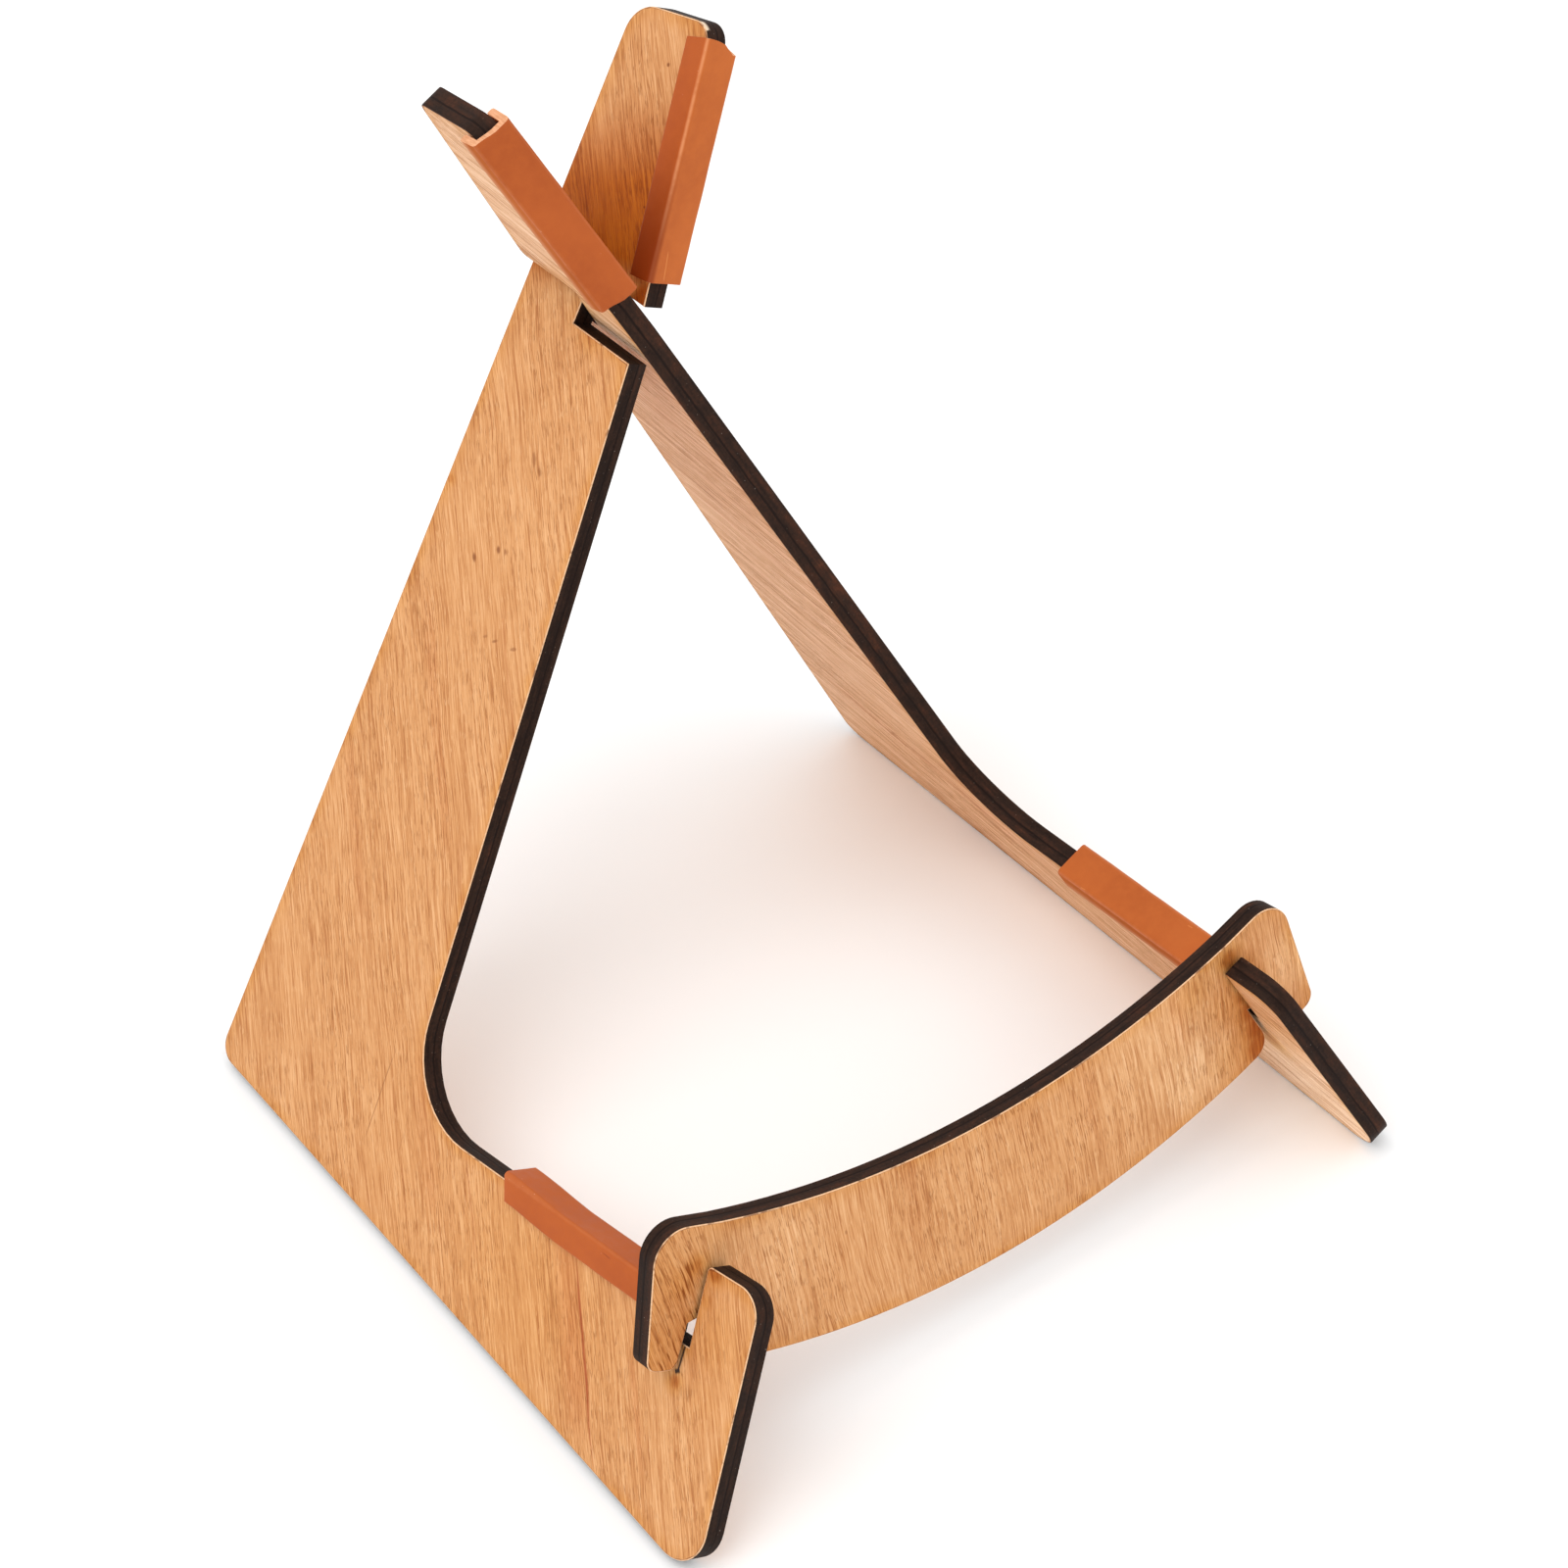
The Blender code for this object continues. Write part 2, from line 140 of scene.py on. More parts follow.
BAR_WARM = (
    (-81.0, 20.0, 13.0, 0.38), (-82.0, 36.0, 12.0, 0.32), (-75.5, 34.0, 6.0, 0.46),
    (-75.0, 24.0, 5.0, 0.50), (-66.0, 44.0, 7.0, 0.22), (-71.5, 36.0, 4.0, 0.70),
    # The patches at the right end are laser scorch and painted shade beside the right board's
    # hook
    (67.5, 35.0, 5.0, 0.80), (69.5, 30.0, 6.0, 0.80), (71.0, 25.0, 7.0, 0.82),
    (72.5, 20.0, 8.0, 0.85), (73.5, 15.0, 8.5, 0.85), (73.5, 10.0, 8.0, 0.85),
    (66.0, 24.0, 8.0, 0.42), (66.0, 12.0, 8.0, 0.34), (56.5, 32.0, 7.0, 0.40),
)

# A band across a board, browned by scorch and darkened with painted shade from the crossing
# board: its slope to the foot (degrees), and where it begins, is full, begins to fade and ends
# (mm, square to the slope)
LEFT_SCORCH_SHADE_BANDS = ((27.7, 166.0, 174.0, 187.0, 209.0),)

# Painted light: paler patches where light falls on the right board's inner veneer and on the
# crossbar, placed as the warm ones
RIGHT_PAINTED_LIGHT = ((168.0, 14.0, 40.0, 1.00), (140.0, 4.0, 26.0, 0.35))
BAR_PAINTED_LIGHT = (
    (50.0, 24.0, 24.0, 0.50), (-54.0, 28.0, 18.0, 0.40), (83.0, 26.0, 12.0, 0.85),
    (56.0, 11.0, 14.0, 0.60),
)

# Pin knots: along the foot, up the face, half width, half length (mm), darkness
LEFT_KNOTS = (
    (15.9, 135.7, 0.60, 1.05, 0.90), (21.5, 141.0, 0.70, 0.85, 0.90),
    (23.6, 141.8, 0.45, 0.70, 0.70), (21.5, 162.3, 0.65, 1.70, 0.60),
    (24.3, 160.9, 0.50, 1.20, 0.55), (30.6, 124.9, 1.10, 0.40, 0.70),
    (27.4, 124.0, 0.90, 0.35, 0.45), (36.2, 126.4, 1.10, 0.42, 0.60),
    (14.7, 246.3, 0.42, 0.42, 0.95), (23.3, 219.9, 0.34, 0.34, 0.95),
)
RIGHT_KNOTS = ((88.0, 24.0, 0.60, 1.20, 0.70), (31.0, 172.0, 0.40, 0.70, 0.70))
BAR_KNOTS = ((18.0, 32.0, 0.35, 0.80, 0.55), (-36.0, 24.0, 0.30, 0.60, 0.50))

# Red streaks along the grain: a point on it, half width, half length (mm), strength
LEFT_STREAKS = (
    (126.3, 20.6, 0.45, 19.0, 0.95), (130.1, 15.8, 0.38, 22.0, 0.80),
    (122.0, 21.0, 4.60, 26.0, 0.50), (146.0, 18.0, 1.20, 15.0, 0.35),
    (40.0, 118.0, 0.35, 22.0, 0.30), (84.0, 24.0, 0.50, 16.0, 0.30),
    (24.0, 100.0, 2.40, 34.0, 0.22), (52.0, 72.0, 0.40, 20.0, 0.28),
    (66.0, 26.0, 3.20, 22.0, 0.24), (14.0, 66.0, 2.60, 26.0, 0.20),
)
RIGHT_STREAKS = (
    (20.0, 135.0, 0.45, 22.0, 0.60), (24.0, 121.0, 0.45, 26.0, 0.55),
    (22.0, 112.0, 2.60, 30.0, 0.30), (30.0, 60.0, 0.50, 30.0, 0.45),
    (40.0, 30.0, 3.60, 40.0, 0.35), (150.0, 26.0, 0.40, 20.0, 0.40),
    (26.0, 84.0, 0.35, 26.0, 0.45), (18.0, 160.0, 2.20, 20.0, 0.25),
)
BAR_STREAKS = (
    (-20.0, 30.0, 3.20, 26.0, 0.16), (26.0, 30.0, 2.60, 26.0, 0.18),
    (52.0, 38.0, 2.80, 24.0, 0.20),
)

# Broken corners, showing pale wood: along the foot, up the face, radius (mm)
LEFT_CHIPS = ((19.4, 256.9, 1.5),)

# Fine checks in the face: two ends (mm), half width, darkness and how far they wander;
# one that doesn't wander is the slot running on deeper, painted dark: its charred wall and
# the painted shade in the narrow gap
LEFT_CHECKS = (
    (48.7, 36.9, 49.9, 13.5, 0.16, 0.62, 1.0), (58.0, 30.0, 60.5, 18.0, 0.12, 0.35, 1.0),
    (150.2, 39.2, 151.3, 32.6, 0.30, 0.95, 0.0), (150.6, 32.2, 151.7, 33.3, 0.55, 0.95, 0.0),
)

# What holds where a board names no marks of its own. The lean is where the grain begins to
# lean over, where it leans in full (mm along the foot) and by how much, and it leans about
# LEAN_LEVEL (m up the face). The rim is the burnt line along a cut (mm). Singed fibres begin
# at one warmth and are full at the next. The third number is how strong they are before the
# lean, and the last one how strong beyond it
PLAIN_BOARD = {
    "checks": (), "chips": (), "bands": (), "pale": (), "inner_painted_light": (), "figure": 1.0,
    "inner_figure": 1.0, "rim": 0.10, "inner_rim": 0.45, "lean": (0.0, 1.0, 0.0),
    "singed": (0.30, 0.75, 0.30, 0.30),
}
LEAN_LEVEL = 0.034

# The grips: the seed of each one's patterns, scratches (across, two ends along, half width,
# all mm, and strength), how strong the painted highlight along the arrises is, how strong the
# painted shade on the outer wall near the lower end is and how much the skin over the board's
# edge is bleached. The pulls are how the knife left the ends: which end (0 low, 1 high), which
# side (1 outer, -1 inner, 0 the whole end), its arris or its lip (0 or 1), and how far it
# reaches, slides along and lifts off (mm)
PLAIN_GRIP = {"scratches": (), "arris_highlight": 0.22, "painted_end_shade": 0.0, "bleached": 0.0, "pulls": ()}
GRIPS = {
    "left_upper": {
        "seed": 0.4, "arris_highlight": 0.80, "painted_end_shade": 0.92, "bleached": 1.0,
        "scratches": ((0.6, 1.0, 8.0, 0.20, 0.90),),
        "pulls": ((1, 1, 0, 7.0, 1.2, 0.0), (1, -1, 0, 3.2, -1.5, 0.0),
                  (0, 0, 0, 8.0, 1.0, 0.0), (0, -1, 0, 4.0, 0.4, 0.0))},
    "left_lower": {
        "seed": 1.1,
        "pulls": ((0, 1, 1, 4.5, 1.7, 0.0), (0, 0, 0, 20.0, 0.0, 0.9),
                  (0, 0, 0, 8.0, 1.0, 0.0))},
    "right_upper": {
        "seed": 1.8,
        "scratches": ((-2.7, 41.0, 42.2, 0.22, 0.80),),
        "pulls": ((1, -1, 0, 4.5, 0.9, 0.0), (0, -1, 0, 5.0, 1.4, 0.0),
                  (1, 0, 0, 9.0, 2.2, 0.0), (0, 0, 0, 9.0, 1.3, 0.0))},
    "right_lower": {
        "seed": 2.5, "bleached": 0.70,
        "scratches": ((-4.7, 6.6, 8.4, 0.18, 0.80), (-0.6, 36.2, 37.9, 0.18, 0.80),
                      (-8.3, 49.4, 50.6, 0.18, 0.80)),
        "pulls": ((0, 0, 0, 8.0, -1.3, 0.0),)},
}

# What a pull takes hold of: points this near the end at a corner, this near a whole end,
# and this near the corner (m)
HOLD_END_CORNER = 0.0009
HOLD_WHOLE_END = 0.0024
HOLD_CORNER = 0.0012

# How long the waves in the grips' walls are, and how near the inner side the inner wall's
# faces are (m)
WAVE_LENGTH = 0.011
WALL_SKIN = 0.0006
END_SEGMENTS = 3

# Tints over the veneer. The figure's go from its darkest tone to its palest
FIGURE_TINTS = (
    (0.08, (0.66, 0.52, 0.42)), (0.30, (0.86, 0.78, 0.70)), (0.50, (1.00, 1.00, 1.00)),
    (0.70, (1.10, 1.17, 1.28)), (0.92, (1.22, 1.42, 1.75)),
)
PORE = (0.56, 0.43, 0.32)
# Painted highlight of the flecks
FLECK_HIGHLIGHT = (1.22, 1.45, 1.80)
FINE_STREAK = (0.70, 0.44, 0.34)
BROAD_STREAK = (0.90, 0.70, 0.62)
KNOT = (0.40, 0.27, 0.20)
CHECK = (0.42, 0.33, 0.26)
# Tint of the patches of painted light
PAINTED_LIGHT_PATCH = (1.24, 1.48, 1.80)
# Tint of the bands: scorch and painted shade
SCORCH_AND_SHADE = (0.72, 0.38, 0.058)
BAKED = (0.60, 0.28, 0.05)
SINGED_FIBRE = (0.38, 0.20, 0.07)
BURNT_RIM = (0.34, 0.19, 0.10)

# Tints over the char and the rubbed arris, then plain colours: ash, bare wood in a chip and
# char showing through the arris. The glue line lies at this share of the sheet's thickness
DEEP_CHAR = (0.55, 0.56, 0.60)
LIGHT_CHAR = (1.50, 1.30, 1.20)
GLUE_LINE = (0.34, 0.34, 0.38)
WORN_ARRIS = (0.88, 0.80, 0.70)
ASH = (0.30, 0.25, 0.21)
BARE_WOOD = (0.78, 0.62, 0.46)
NICKED_ARRIS = (0.20, 0.082, 0.032)
GLUE_LINE_DEPTH = 0.56

# Tints over the silicone and its cut ends. The inner walls carry a painted grazing sheen,
# strongest at their lips. Dust and torn silicone are plain colours
CLOUD_DARK = (0.90, 0.86, 0.80)
CLOUD_PALE = (1.07, 1.12, 1.18)
MOTTLE = (1.16, 1.30, 1.45)
# Painted highlight along the crown's arrises
ARRIS_HIGHLIGHT = (1.45, 2.50, 6.50)
# Painted highlight along the flanges' feet
LIP_HIGHLIGHT = (1.25, 1.60, 2.05)
# Painted shade on the outer wall near its lower end
PAINTED_END_SHADE = (0.48, 0.30, 0.12)
BLEACHED = (1.16, 1.34, 1.50)
NICK = (0.55, 0.42, 0.40)
SCRATCH = (1.50, 2.40, 4.00)
# Painted grazing sheen on the inner walls, strongest at their lips
INNER_WALL_SHEEN = (1.10, 1.49, 3.00)
INNER_LIP_SHEEN = (1.42, 3.20, 11.0)
CUT_DARK = (0.86, 0.80, 0.74)
CUT_PALE = (1.10, 1.16, 1.24)
DUST = (0.82, 0.52, 0.38)
TORN_SILICONE = (0.80, 0.46, 0.30)

# How deep each finish's relief is (m)
VENEER_RELIEF = 0.00009
CHAR_RELIEF = 0.00012
ARRIS_RELIEF = 0.00005
SILICONE_RELIEF = 0.00006

# The studio: the floor's width, each soft light's place, aim and width, and the camera's
# sensor (mm) and clipping distances
FLOOR_WIDTH = 9.0
KEY_SOFTBOX = ((-0.8, -0.1, 1.4), (0.0, 0.0, 0.10), 1.1)
FILL_SOFTBOX = ((1.1, -0.7, 0.9), (0.0, 0.0, 0.08), 1.2)
SENSOR_WIDTH = 36.0
CLIP_START = 0.01
CLIP_END = 50.0


# ---------------------------------------------------------------- settings

COLOUR = {"subtype": "COLOR", "size": 3, "min": 0.0, "max": 1.0}
LENGTH = {"subtype": "DISTANCE", "unit": "LENGTH"}
ANGLE = {"subtype": "ANGLE", "unit": "ROTATION"}
POWER = {"subtype": "POWER", "unit": "POWER", "min": 0.0, "max": 500.0}


class StandBoardSettings(bpy.types.PropertyGroup):
    """Sizes and colours of the three plywood pieces."""
    veneer_colour: FloatVectorProperty(
        name="Veneer", description="Mean colour of the face veneer",
        default=(0.612, 0.290, 0.112), **COLOUR)
    inner_colour: FloatVectorProperty(
        name="Inner veneer", description="Mean colour of the veneer on the inner faces",
        default=(0.710, 0.398, 0.205), **COLOUR)
    scorch_colour: FloatVectorProperty(
        name="Scorch", description="Tint that the laser's heat gives the veneer",
        default=(0.90, 0.74, 0.34), **COLOUR)
    char_colour: FloatVectorProperty(
        name="Charred edge", description="Colour of the burnt plies",
        default=(0.0300, 0.0148, 0.0098), **COLOUR)
    russet_colour: FloatVectorProperty(
        name="Russet ply", description="Colour of the plies that burnt less",
        default=(0.085, 0.030, 0.016), **COLOUR)
    arris_colour: FloatVectorProperty(
        name="Rubbed arris", description="Colour where the outer arris is rubbed clean",
        default=(0.80, 0.50, 0.29), **COLOUR)
    arris_width: FloatProperty(
        name="Arris width", description="Width of the eased edge of each board",
        min=0.0001, max=0.0008, default=0.00020, **LENGTH)
    scorch_reach: FloatProperty(
        name="Scorch reach", description="How far the scorch spreads from a cut",
        min=0.0005, max=0.01, default=0.0044, **LENGTH)
    grid_step: FloatProperty(
        name="Grid step", description="Spacing of the mesh lines across a board",
        min=0.001, max=0.01, default=0.0025, **LENGTH)
    left_grain: FloatProperty(
        name="Left grain", description="Direction of the left board's grain to its foot",
        default=math.radians(-50.8), **ANGLE)
    right_grain: FloatProperty(
        name="Right grain", description="Direction of the right board's grain to its foot",
        default=math.radians(-9.0), **ANGLE)
    bar_grain: FloatProperty(
        name="Crossbar grain", description="Direction of the crossbar's grain to its length",
        default=math.radians(92.5), **ANGLE)


class StandGripSettings(bpy.types.PropertyGroup):
    """Sizes and colours of the silicone edge grips."""
    silicone_colour: FloatVectorProperty(
        name="Silicone", description="Colour of the grips",
        default=(0.409, 0.0825, 0.0124), **COLOUR)
    cut_colour: FloatVectorProperty(
        name="Cut end", description="Colour of the fresh cut at each end",
        default=(0.72, 0.34, 0.17), **COLOUR)
    end_round: FloatProperty(
        name="End round", description="Round on the cut ends",
        min=0.00005, max=0.0005, default=0.00022, **LENGTH)
    slice_step: FloatProperty(
        name="Slice step", description="Spacing of the mesh lines along a grip",
        min=0.0005, max=0.005, default=0.0012, **LENGTH)
    waviness: FloatProperty(
        name="Waviness", description="How far the soft walls wander from straight",
        min=0.0, max=0.0004, default=0.00018, **LENGTH)


class StandStageSettings(bpy.types.PropertyGroup):
    """Floor, lights and camera."""
    floor_colour: FloatVectorProperty(
        name="Floor", description="Colour of the plain floor",
        default=(0.94, 0.94, 0.94), **COLOUR)
    room_light: FloatProperty(
        name="Room light", description="Brightness of the even light all round",
        min=0.0, max=4.0, default=1.00)
    key_light: FloatProperty(
        name="Key light", description="Power of the large soft light",
        default=9.0, **POWER)
    fill_light: FloatProperty(
        name="Fill light", description="Power of the soft light on the other side",
        default=3.0, **POWER)
    lens: FloatProperty(
        name="Lens", description="Focal length of the camera in millimetres",
        min=20.0, max=300.0, default=101.139)
    camera_place: FloatVectorProperty(
        name="Camera", description="Place of the camera", subtype="TRANSLATION",
        unit="LENGTH", size=3, default=(-0.40946, -0.50535, 0.70016))
    camera_turn: FloatVectorProperty(
        name="Camera angles", description="Heading, height above the floor and tilt, "
        "in radians", size=3, default=(-0.67603, 0.74922, 0.01483))


# ---------------------------------------------------------------- material recipes

class Recipe:
    """Writes one material's nodes, each fed by the ones before it."""

    def __init__(self, name):
        self.material = bpy.data.materials.new(name)
        self.material.use_nodes = True
        tree = self.material.node_tree
        self.nodes = tree.nodes
        self.links = tree.links
        self.shader = self.nodes["Principled BSDF"]
        self.count = 0

    def node(self, kind, **settings):
        """A new node, laid out in columns of eight."""
        item = self.nodes.new(kind)
        item.location = (-220.0 * (1 + self.count // 8), -180.0 * (self.count % 8))
        self.count += 1
        for key, value in settings.items():
            setattr(item, key, value)
        return item

    def feed(self, socket, value):
        """Links a socket, or sets a plain value on it."""
        if isinstance(value, bpy.types.NodeSocket):
            self.links.new(value, socket)
        elif socket.type == "RGBA" and len(value) == 3:
            socket.default_value = (*value, 1.0)
        else:
            socket.default_value = value

    def number(self, operation, first, second=0.0, third=None, clamp=False):
        item = self.node("ShaderNodeMath", operation=operation, use_clamp=clamp)
        self.feed(item.inputs[0], first)
        self.feed(item.inputs[1], second)
        if third is not None:
            self.feed(item.inputs[2], third)
        return item.outputs[0]

    def times(self, first, *others):
        """The product of two or more numbers."""
        for other in others:
            first = self.number("MULTIPLY", first, other)
        return first

    def swing(self, value, noise, reach):
        """A number that a noise moves by up to half its reach, up or down."""
        if isinstance(value, bpy.types.NodeSocket):
            return self.number("MULTIPLY_ADD", noise, reach,
                               self.number("ADD", value, -0.5 * reach))
        return self.number("MULTIPLY_ADD", noise, reach, value - 0.5 * reach)

    def apart(self, first, second):
        """How far two numbers are apart."""
        return self.number("ABSOLUTE", self.number("SUBTRACT", first, second))

    def vector(self, operation, first, second):
        item = self.node("ShaderNodeVectorMath", operation=operation)
        self.feed(item.inputs[0], first)
        self.feed(item.inputs[1], second)
        return item.outputs["Value" if operation in {"DISTANCE", "DOT_PRODUCT"} else "Vector"]

    def distance(self, flat, x, y):
        """How far a point of the face is from a mark that is placed in millimetres."""
        return self.vector("DISTANCE", flat, (x * MM, y * MM, 0.0))

    def parts(self, vector):
        item = self.node("ShaderNodeSeparateXYZ")
        self.feed(item.inputs[0], vector)
        return item.outputs

    def gather(self, x, y, z):
        item = self.node("ShaderNodeCombineXYZ")
        for socket, value in zip(item.inputs, (x, y, z)):
            self.feed(socket, value)
        return item.outputs[0]

    def place(self, solid):
        """Object coordinates, turned into a sheet's or a grip's own origin and axes."""
        turn = Matrix(solid["axes"])
        item = self.node("ShaderNodeMapping", vector_type="POINT")
        source = self.node("ShaderNodeTexCoord")
        self.feed(item.inputs["Vector"], source.outputs["Object"])
        item.inputs["Rotation"].default_value = turn.to_euler("XYZ")
        item.inputs["Location"].default_value = -(turn @ Vector(solid["origin"]))
        return item.outputs[0]

    def flatten(self, spot):
        """The same place on the face, without its depth."""
        return self.vector("MULTIPLY", spot, (1.0, 1.0, 0.0))

    def turned(self, vector, angle):
        item = self.node("ShaderNodeMapping", vector_type="POINT")
        self.feed(item.inputs["Vector"], vector)
        item.inputs["Rotation"].default_value = (0.0, 0.0, angle)
        return item.outputs[0]

    def noise(self, vector, scale, detail=2.0, roughness=0.5):
        """A noise of so many changes to the metre, in each direction or all alike."""
        if isinstance(scale, float):
            scale = (scale, scale, scale)
        item = self.node("ShaderNodeTexNoise", noise_dimensions="3D")
        self.feed(item.inputs["Vector"], self.vector("MULTIPLY", vector, scale))
        item.inputs["Scale"].default_value = 1.0
        item.inputs["Detail"].default_value = detail
        item.inputs["Roughness"].default_value = roughness
        return item.outputs[0]

    def fade(self, value, start, end, low=0.0, high=1.0):
        """A smooth step from low, at start, to high, at end."""
        item = self.node("ShaderNodeMapRange", interpolation_type="SMOOTHSTEP", clamp=True)
        for key, number in (("Value", value), ("From Min", start), ("From Max", end),
                            ("To Min", low), ("To Max", high)):
            self.feed(item.inputs[key], number)
        return item.outputs[0]

    def within(self, gap, size, full, none, strength=1.0):
        """A mark of a size in millimetres, full and gone at these shares of it."""
        return self.fade(gap, full * size * MM, none * size * MM, strength, 0.0)

    def mix(self, factor, first, second, mode="MIX"):
        item = self.node("ShaderNodeMix", data_type="RGBA", blend_type=mode)
        self.feed(item.inputs[0], factor)
        self.feed(item.inputs[6], first)
        self.feed(item.inputs[7], second)
        return item.outputs[2]

    def tinted(self, colour, tint):
        """A colour that comes from nodes, times a tint."""
        return self.mix(1.0, colour, tint, "MULTIPLY")

    def ramp(self, value, stops):
        item = self.node("ShaderNodeValToRGB")
        self.feed(item.inputs[0], value)
        band = item.color_ramp
        while len(band.elements) < len(stops):
            band.elements.new(0.5)
        for element, (position, colour) in zip(band.elements, stops):
            element.position = position
            element.color = (*colour, 1.0)
        return item.outputs[0]

    def bump(self, height, distance, strength):
        item = self.node("ShaderNodeBump")
        item.inputs["Strength"].default_value = strength
        item.inputs["Distance"].default_value = distance
        self.feed(item.inputs["Height"], height)
        return item.outputs[0]

    def finish(self, colour, roughness, normal=None, *, gloss):
        """Feeds the shader, and hands over the finished material."""
        self.feed(self.shader.inputs["Base Color"], colour)
        self.feed(self.shader.inputs["Roughness"], roughness)
        self.shader.inputs["Specular IOR Level"].default_value = gloss
        if normal is not None:
            self.feed(self.shader.inputs["Normal"], normal)
        return self.material


def shade_of(colour, tint):
    """A plain colour times a tint, kept in range."""
    return tuple(min(1.0, c * k) for c, k in zip(colour, tint))


# ---------------------------------------------------------------- finishes

def grain_place(x, y, grain):
    """Where a mark lies across and along the grain, in metres."""
    return Matrix.Rotation(math.radians(90.0) - grain, 2) @ Vector((x * MM, y * MM))


def grain_lines(r, spot, lean, grain, wander, tremble, seed):
    """Coordinates across and along the grain, which leans over and wanders a little."""
    foot, level, _ = r.parts(spot)
    lean_from, lean_to, slope = lean
    leaning = r.fade(foot, lean_from * MM, lean_to * MM, 0.0, slope)
    shear = r.times(r.number("SUBTRACT", level, LEAN_LEVEL), leaning)
    lines = r.vector("ADD", spot, r.gather(shear, 0.0, 0.0))
    lines = r.turned(lines, math.radians(90.0) - grain)
    shift = r.swing(r.swing(0.0, wander, 0.0042), tremble, 0.0003)
    return r.vector("ADD", lines, r.gather(shift, 0.0, seed))


def sliced_wood(r, lines, colour, figure):
    """Bands, streaks, hairs, pore dashes and flecks of painted highlight: colour, roughness
    and relief.
    """
    broad = r.noise(lines, (95.0, 9.0, 60.0))
    bands = r.noise(lines, (400.0, 8.0, 60.0), 3.0, 0.6)
    streaks = r.noise(lines, (1500.0, 26.0, 60.0), 2.0, 0.7)
    hairs = r.noise(lines, (3300.0, 110.0, 60.0), 2.0, 0.6)
    tone = r.swing(0.5, broad, 0.36)
    for layer, weight in ((bands, 0.50 * figure), (streaks, 1.25 * figure), (hairs, 1.70)):
        tone = r.swing(tone, layer, weight)
    tone = r.number("MAXIMUM", tone, 0.0)
    wood = r.ramp(tone, [(stop, shade_of(colour, tint)) for stop, tint in FIGURE_TINTS])

    crowd = r.fade(r.noise(lines, (60.0, 18.0, 60.0), 1.0), 0.36, 0.62, 0.25, 1.0)
    dashes = r.fade(r.noise(lines, (3000.0, 260.0, 60.0), 2.0, 0.6), 0.56, 0.64)
    pores = r.times(dashes, crowd)
    wood = r.mix(r.times(pores, 0.72), wood, shade_of(colour, PORE))
    # Flecks: small painted highlights along the grain
    flecks = r.fade(r.noise(lines, (2600.0, 380.0, -60.0), 1.0), 0.62, 0.74, 0.0, 0.60)
    wood = r.mix(flecks, wood, shade_of(colour, FLECK_HIGHLIGHT))

    rough = r.number("MULTIPLY_ADD", tone, -0.10, 0.60)
    rough = r.number("MULTIPLY_ADD", pores, 0.16, rough)
    relief = r.number("MULTIPLY_ADD", pores, -1.0, r.times(streaks, 0.55))
    relief = r.number("MULTIPLY_ADD", hairs, 0.35, relief)
    return wood, rough, relief


def grain_marks(r, wood, lines, flat, grain, colour, marks):
    """Red streaks and pin knots, which follow the grain."""
    across, along, _ = r.parts(lines)
    for x, y, width, length, strength in marks["streaks"]:
        middle = grain_place(x, y, grain)
        body = r.within(r.apart(across, middle.x), width, 0.15, 1.2, strength)
        ends = r.within(r.apart(along, middle.y), length, 0.45, 1.0)
        stain = FINE_STREAK if width < 1.0 else BROAD_STREAK
        wood = r.mix(r.times(body, ends), wood, r.tinted(wood, stain))

    ragged = r.swing(0.0, r.noise(flat, 620.0), 0.9)
    for x, y, width, length, strength in marks["knots"]:
        middle = grain_place(x, y, grain)
        beside = r.number("SUBTRACT", across, middle.x)
        beyond = r.number("SUBTRACT", along, middle.y)
        near = r.gather(r.times(beside, 1.0 / (width * MM)),
                        r.times(beyond, 1.0 / (length * MM)), 0.0)
        reach = r.number("ADD", r.vector("DISTANCE", near, (0.0, 0.0, 0.0)), ragged)
        wood = r.mix(r.fade(reach, 0.35, 1.25, strength, 0.0), wood, shade_of(colour, KNOT))
    return wood


def check_lines(r, flat, checks, colour, slot_gap_colour, wander, tremble):
    """How strong each check in the face is from place to place, and its colour."""
    found = []
    for x0, y0, x1, y1, width, strength, drift in checks:
        run = Vector((x1 - x0, y1 - y0, 0.0)) * MM
        unit = run.normalized()
        square = Vector((-unit.y, unit.x, 0.0))
        offset = r.vector("SUBTRACT", flat, Vector((x0, y0, 0.0)) * MM)
        beside = r.swing(r.vector("DOT_PRODUCT", offset, square), wander, 0.003 * drift)
        line = r.within(r.number("ABSOLUTE", beside), width, 0.3, 1.3, strength)
        from_middle = r.apart(r.vector("DOT_PRODUCT", offset, unit), run.length / 2.0)
        ends = r.fade(from_middle, 0.42 * run.length, 0.5 * run.length, 1.0, 0.0)
        broken = r.fade(tremble, 0.38, 0.55, 1.0 - 0.75 * drift, 1.0)
        # A check that doesn't wander takes the dark of the slot's gap: char and painted shade
        found.append((r.times(line, ends, broken),
                      shade_of(colour, CHECK) if drift else slot_gap_colour))
    return found


def laser_heat(r, flat, cut, patches, reach, warm):
    """How far the face is browned, by scorch and in some warm patches by painted shade, and
    how far by its warm patches alone.
    """
    ragged_cut = r.swing(cut, r.noise(flat, 420.0), 0.0018)
    halo = r.number("POWER", r.fade(ragged_cut, 0.0, reach, 1.0, 0.0), 1.6)
    halo = r.times(halo, r.fade(patches, 0.34, 0.64, 0.25, 1.0))
    warmth = 0.0
    for x, y, radius, strength in warm:
        gap = r.swing(r.distance(flat, x, y), patches, -0.35 * radius * MM)
        warmth = r.number("MAXIMUM", warmth, r.within(gap, radius, 0.15, 1.25, strength))
    return r.number("MAXIMUM", r.times(halo, 0.58), warmth), warmth


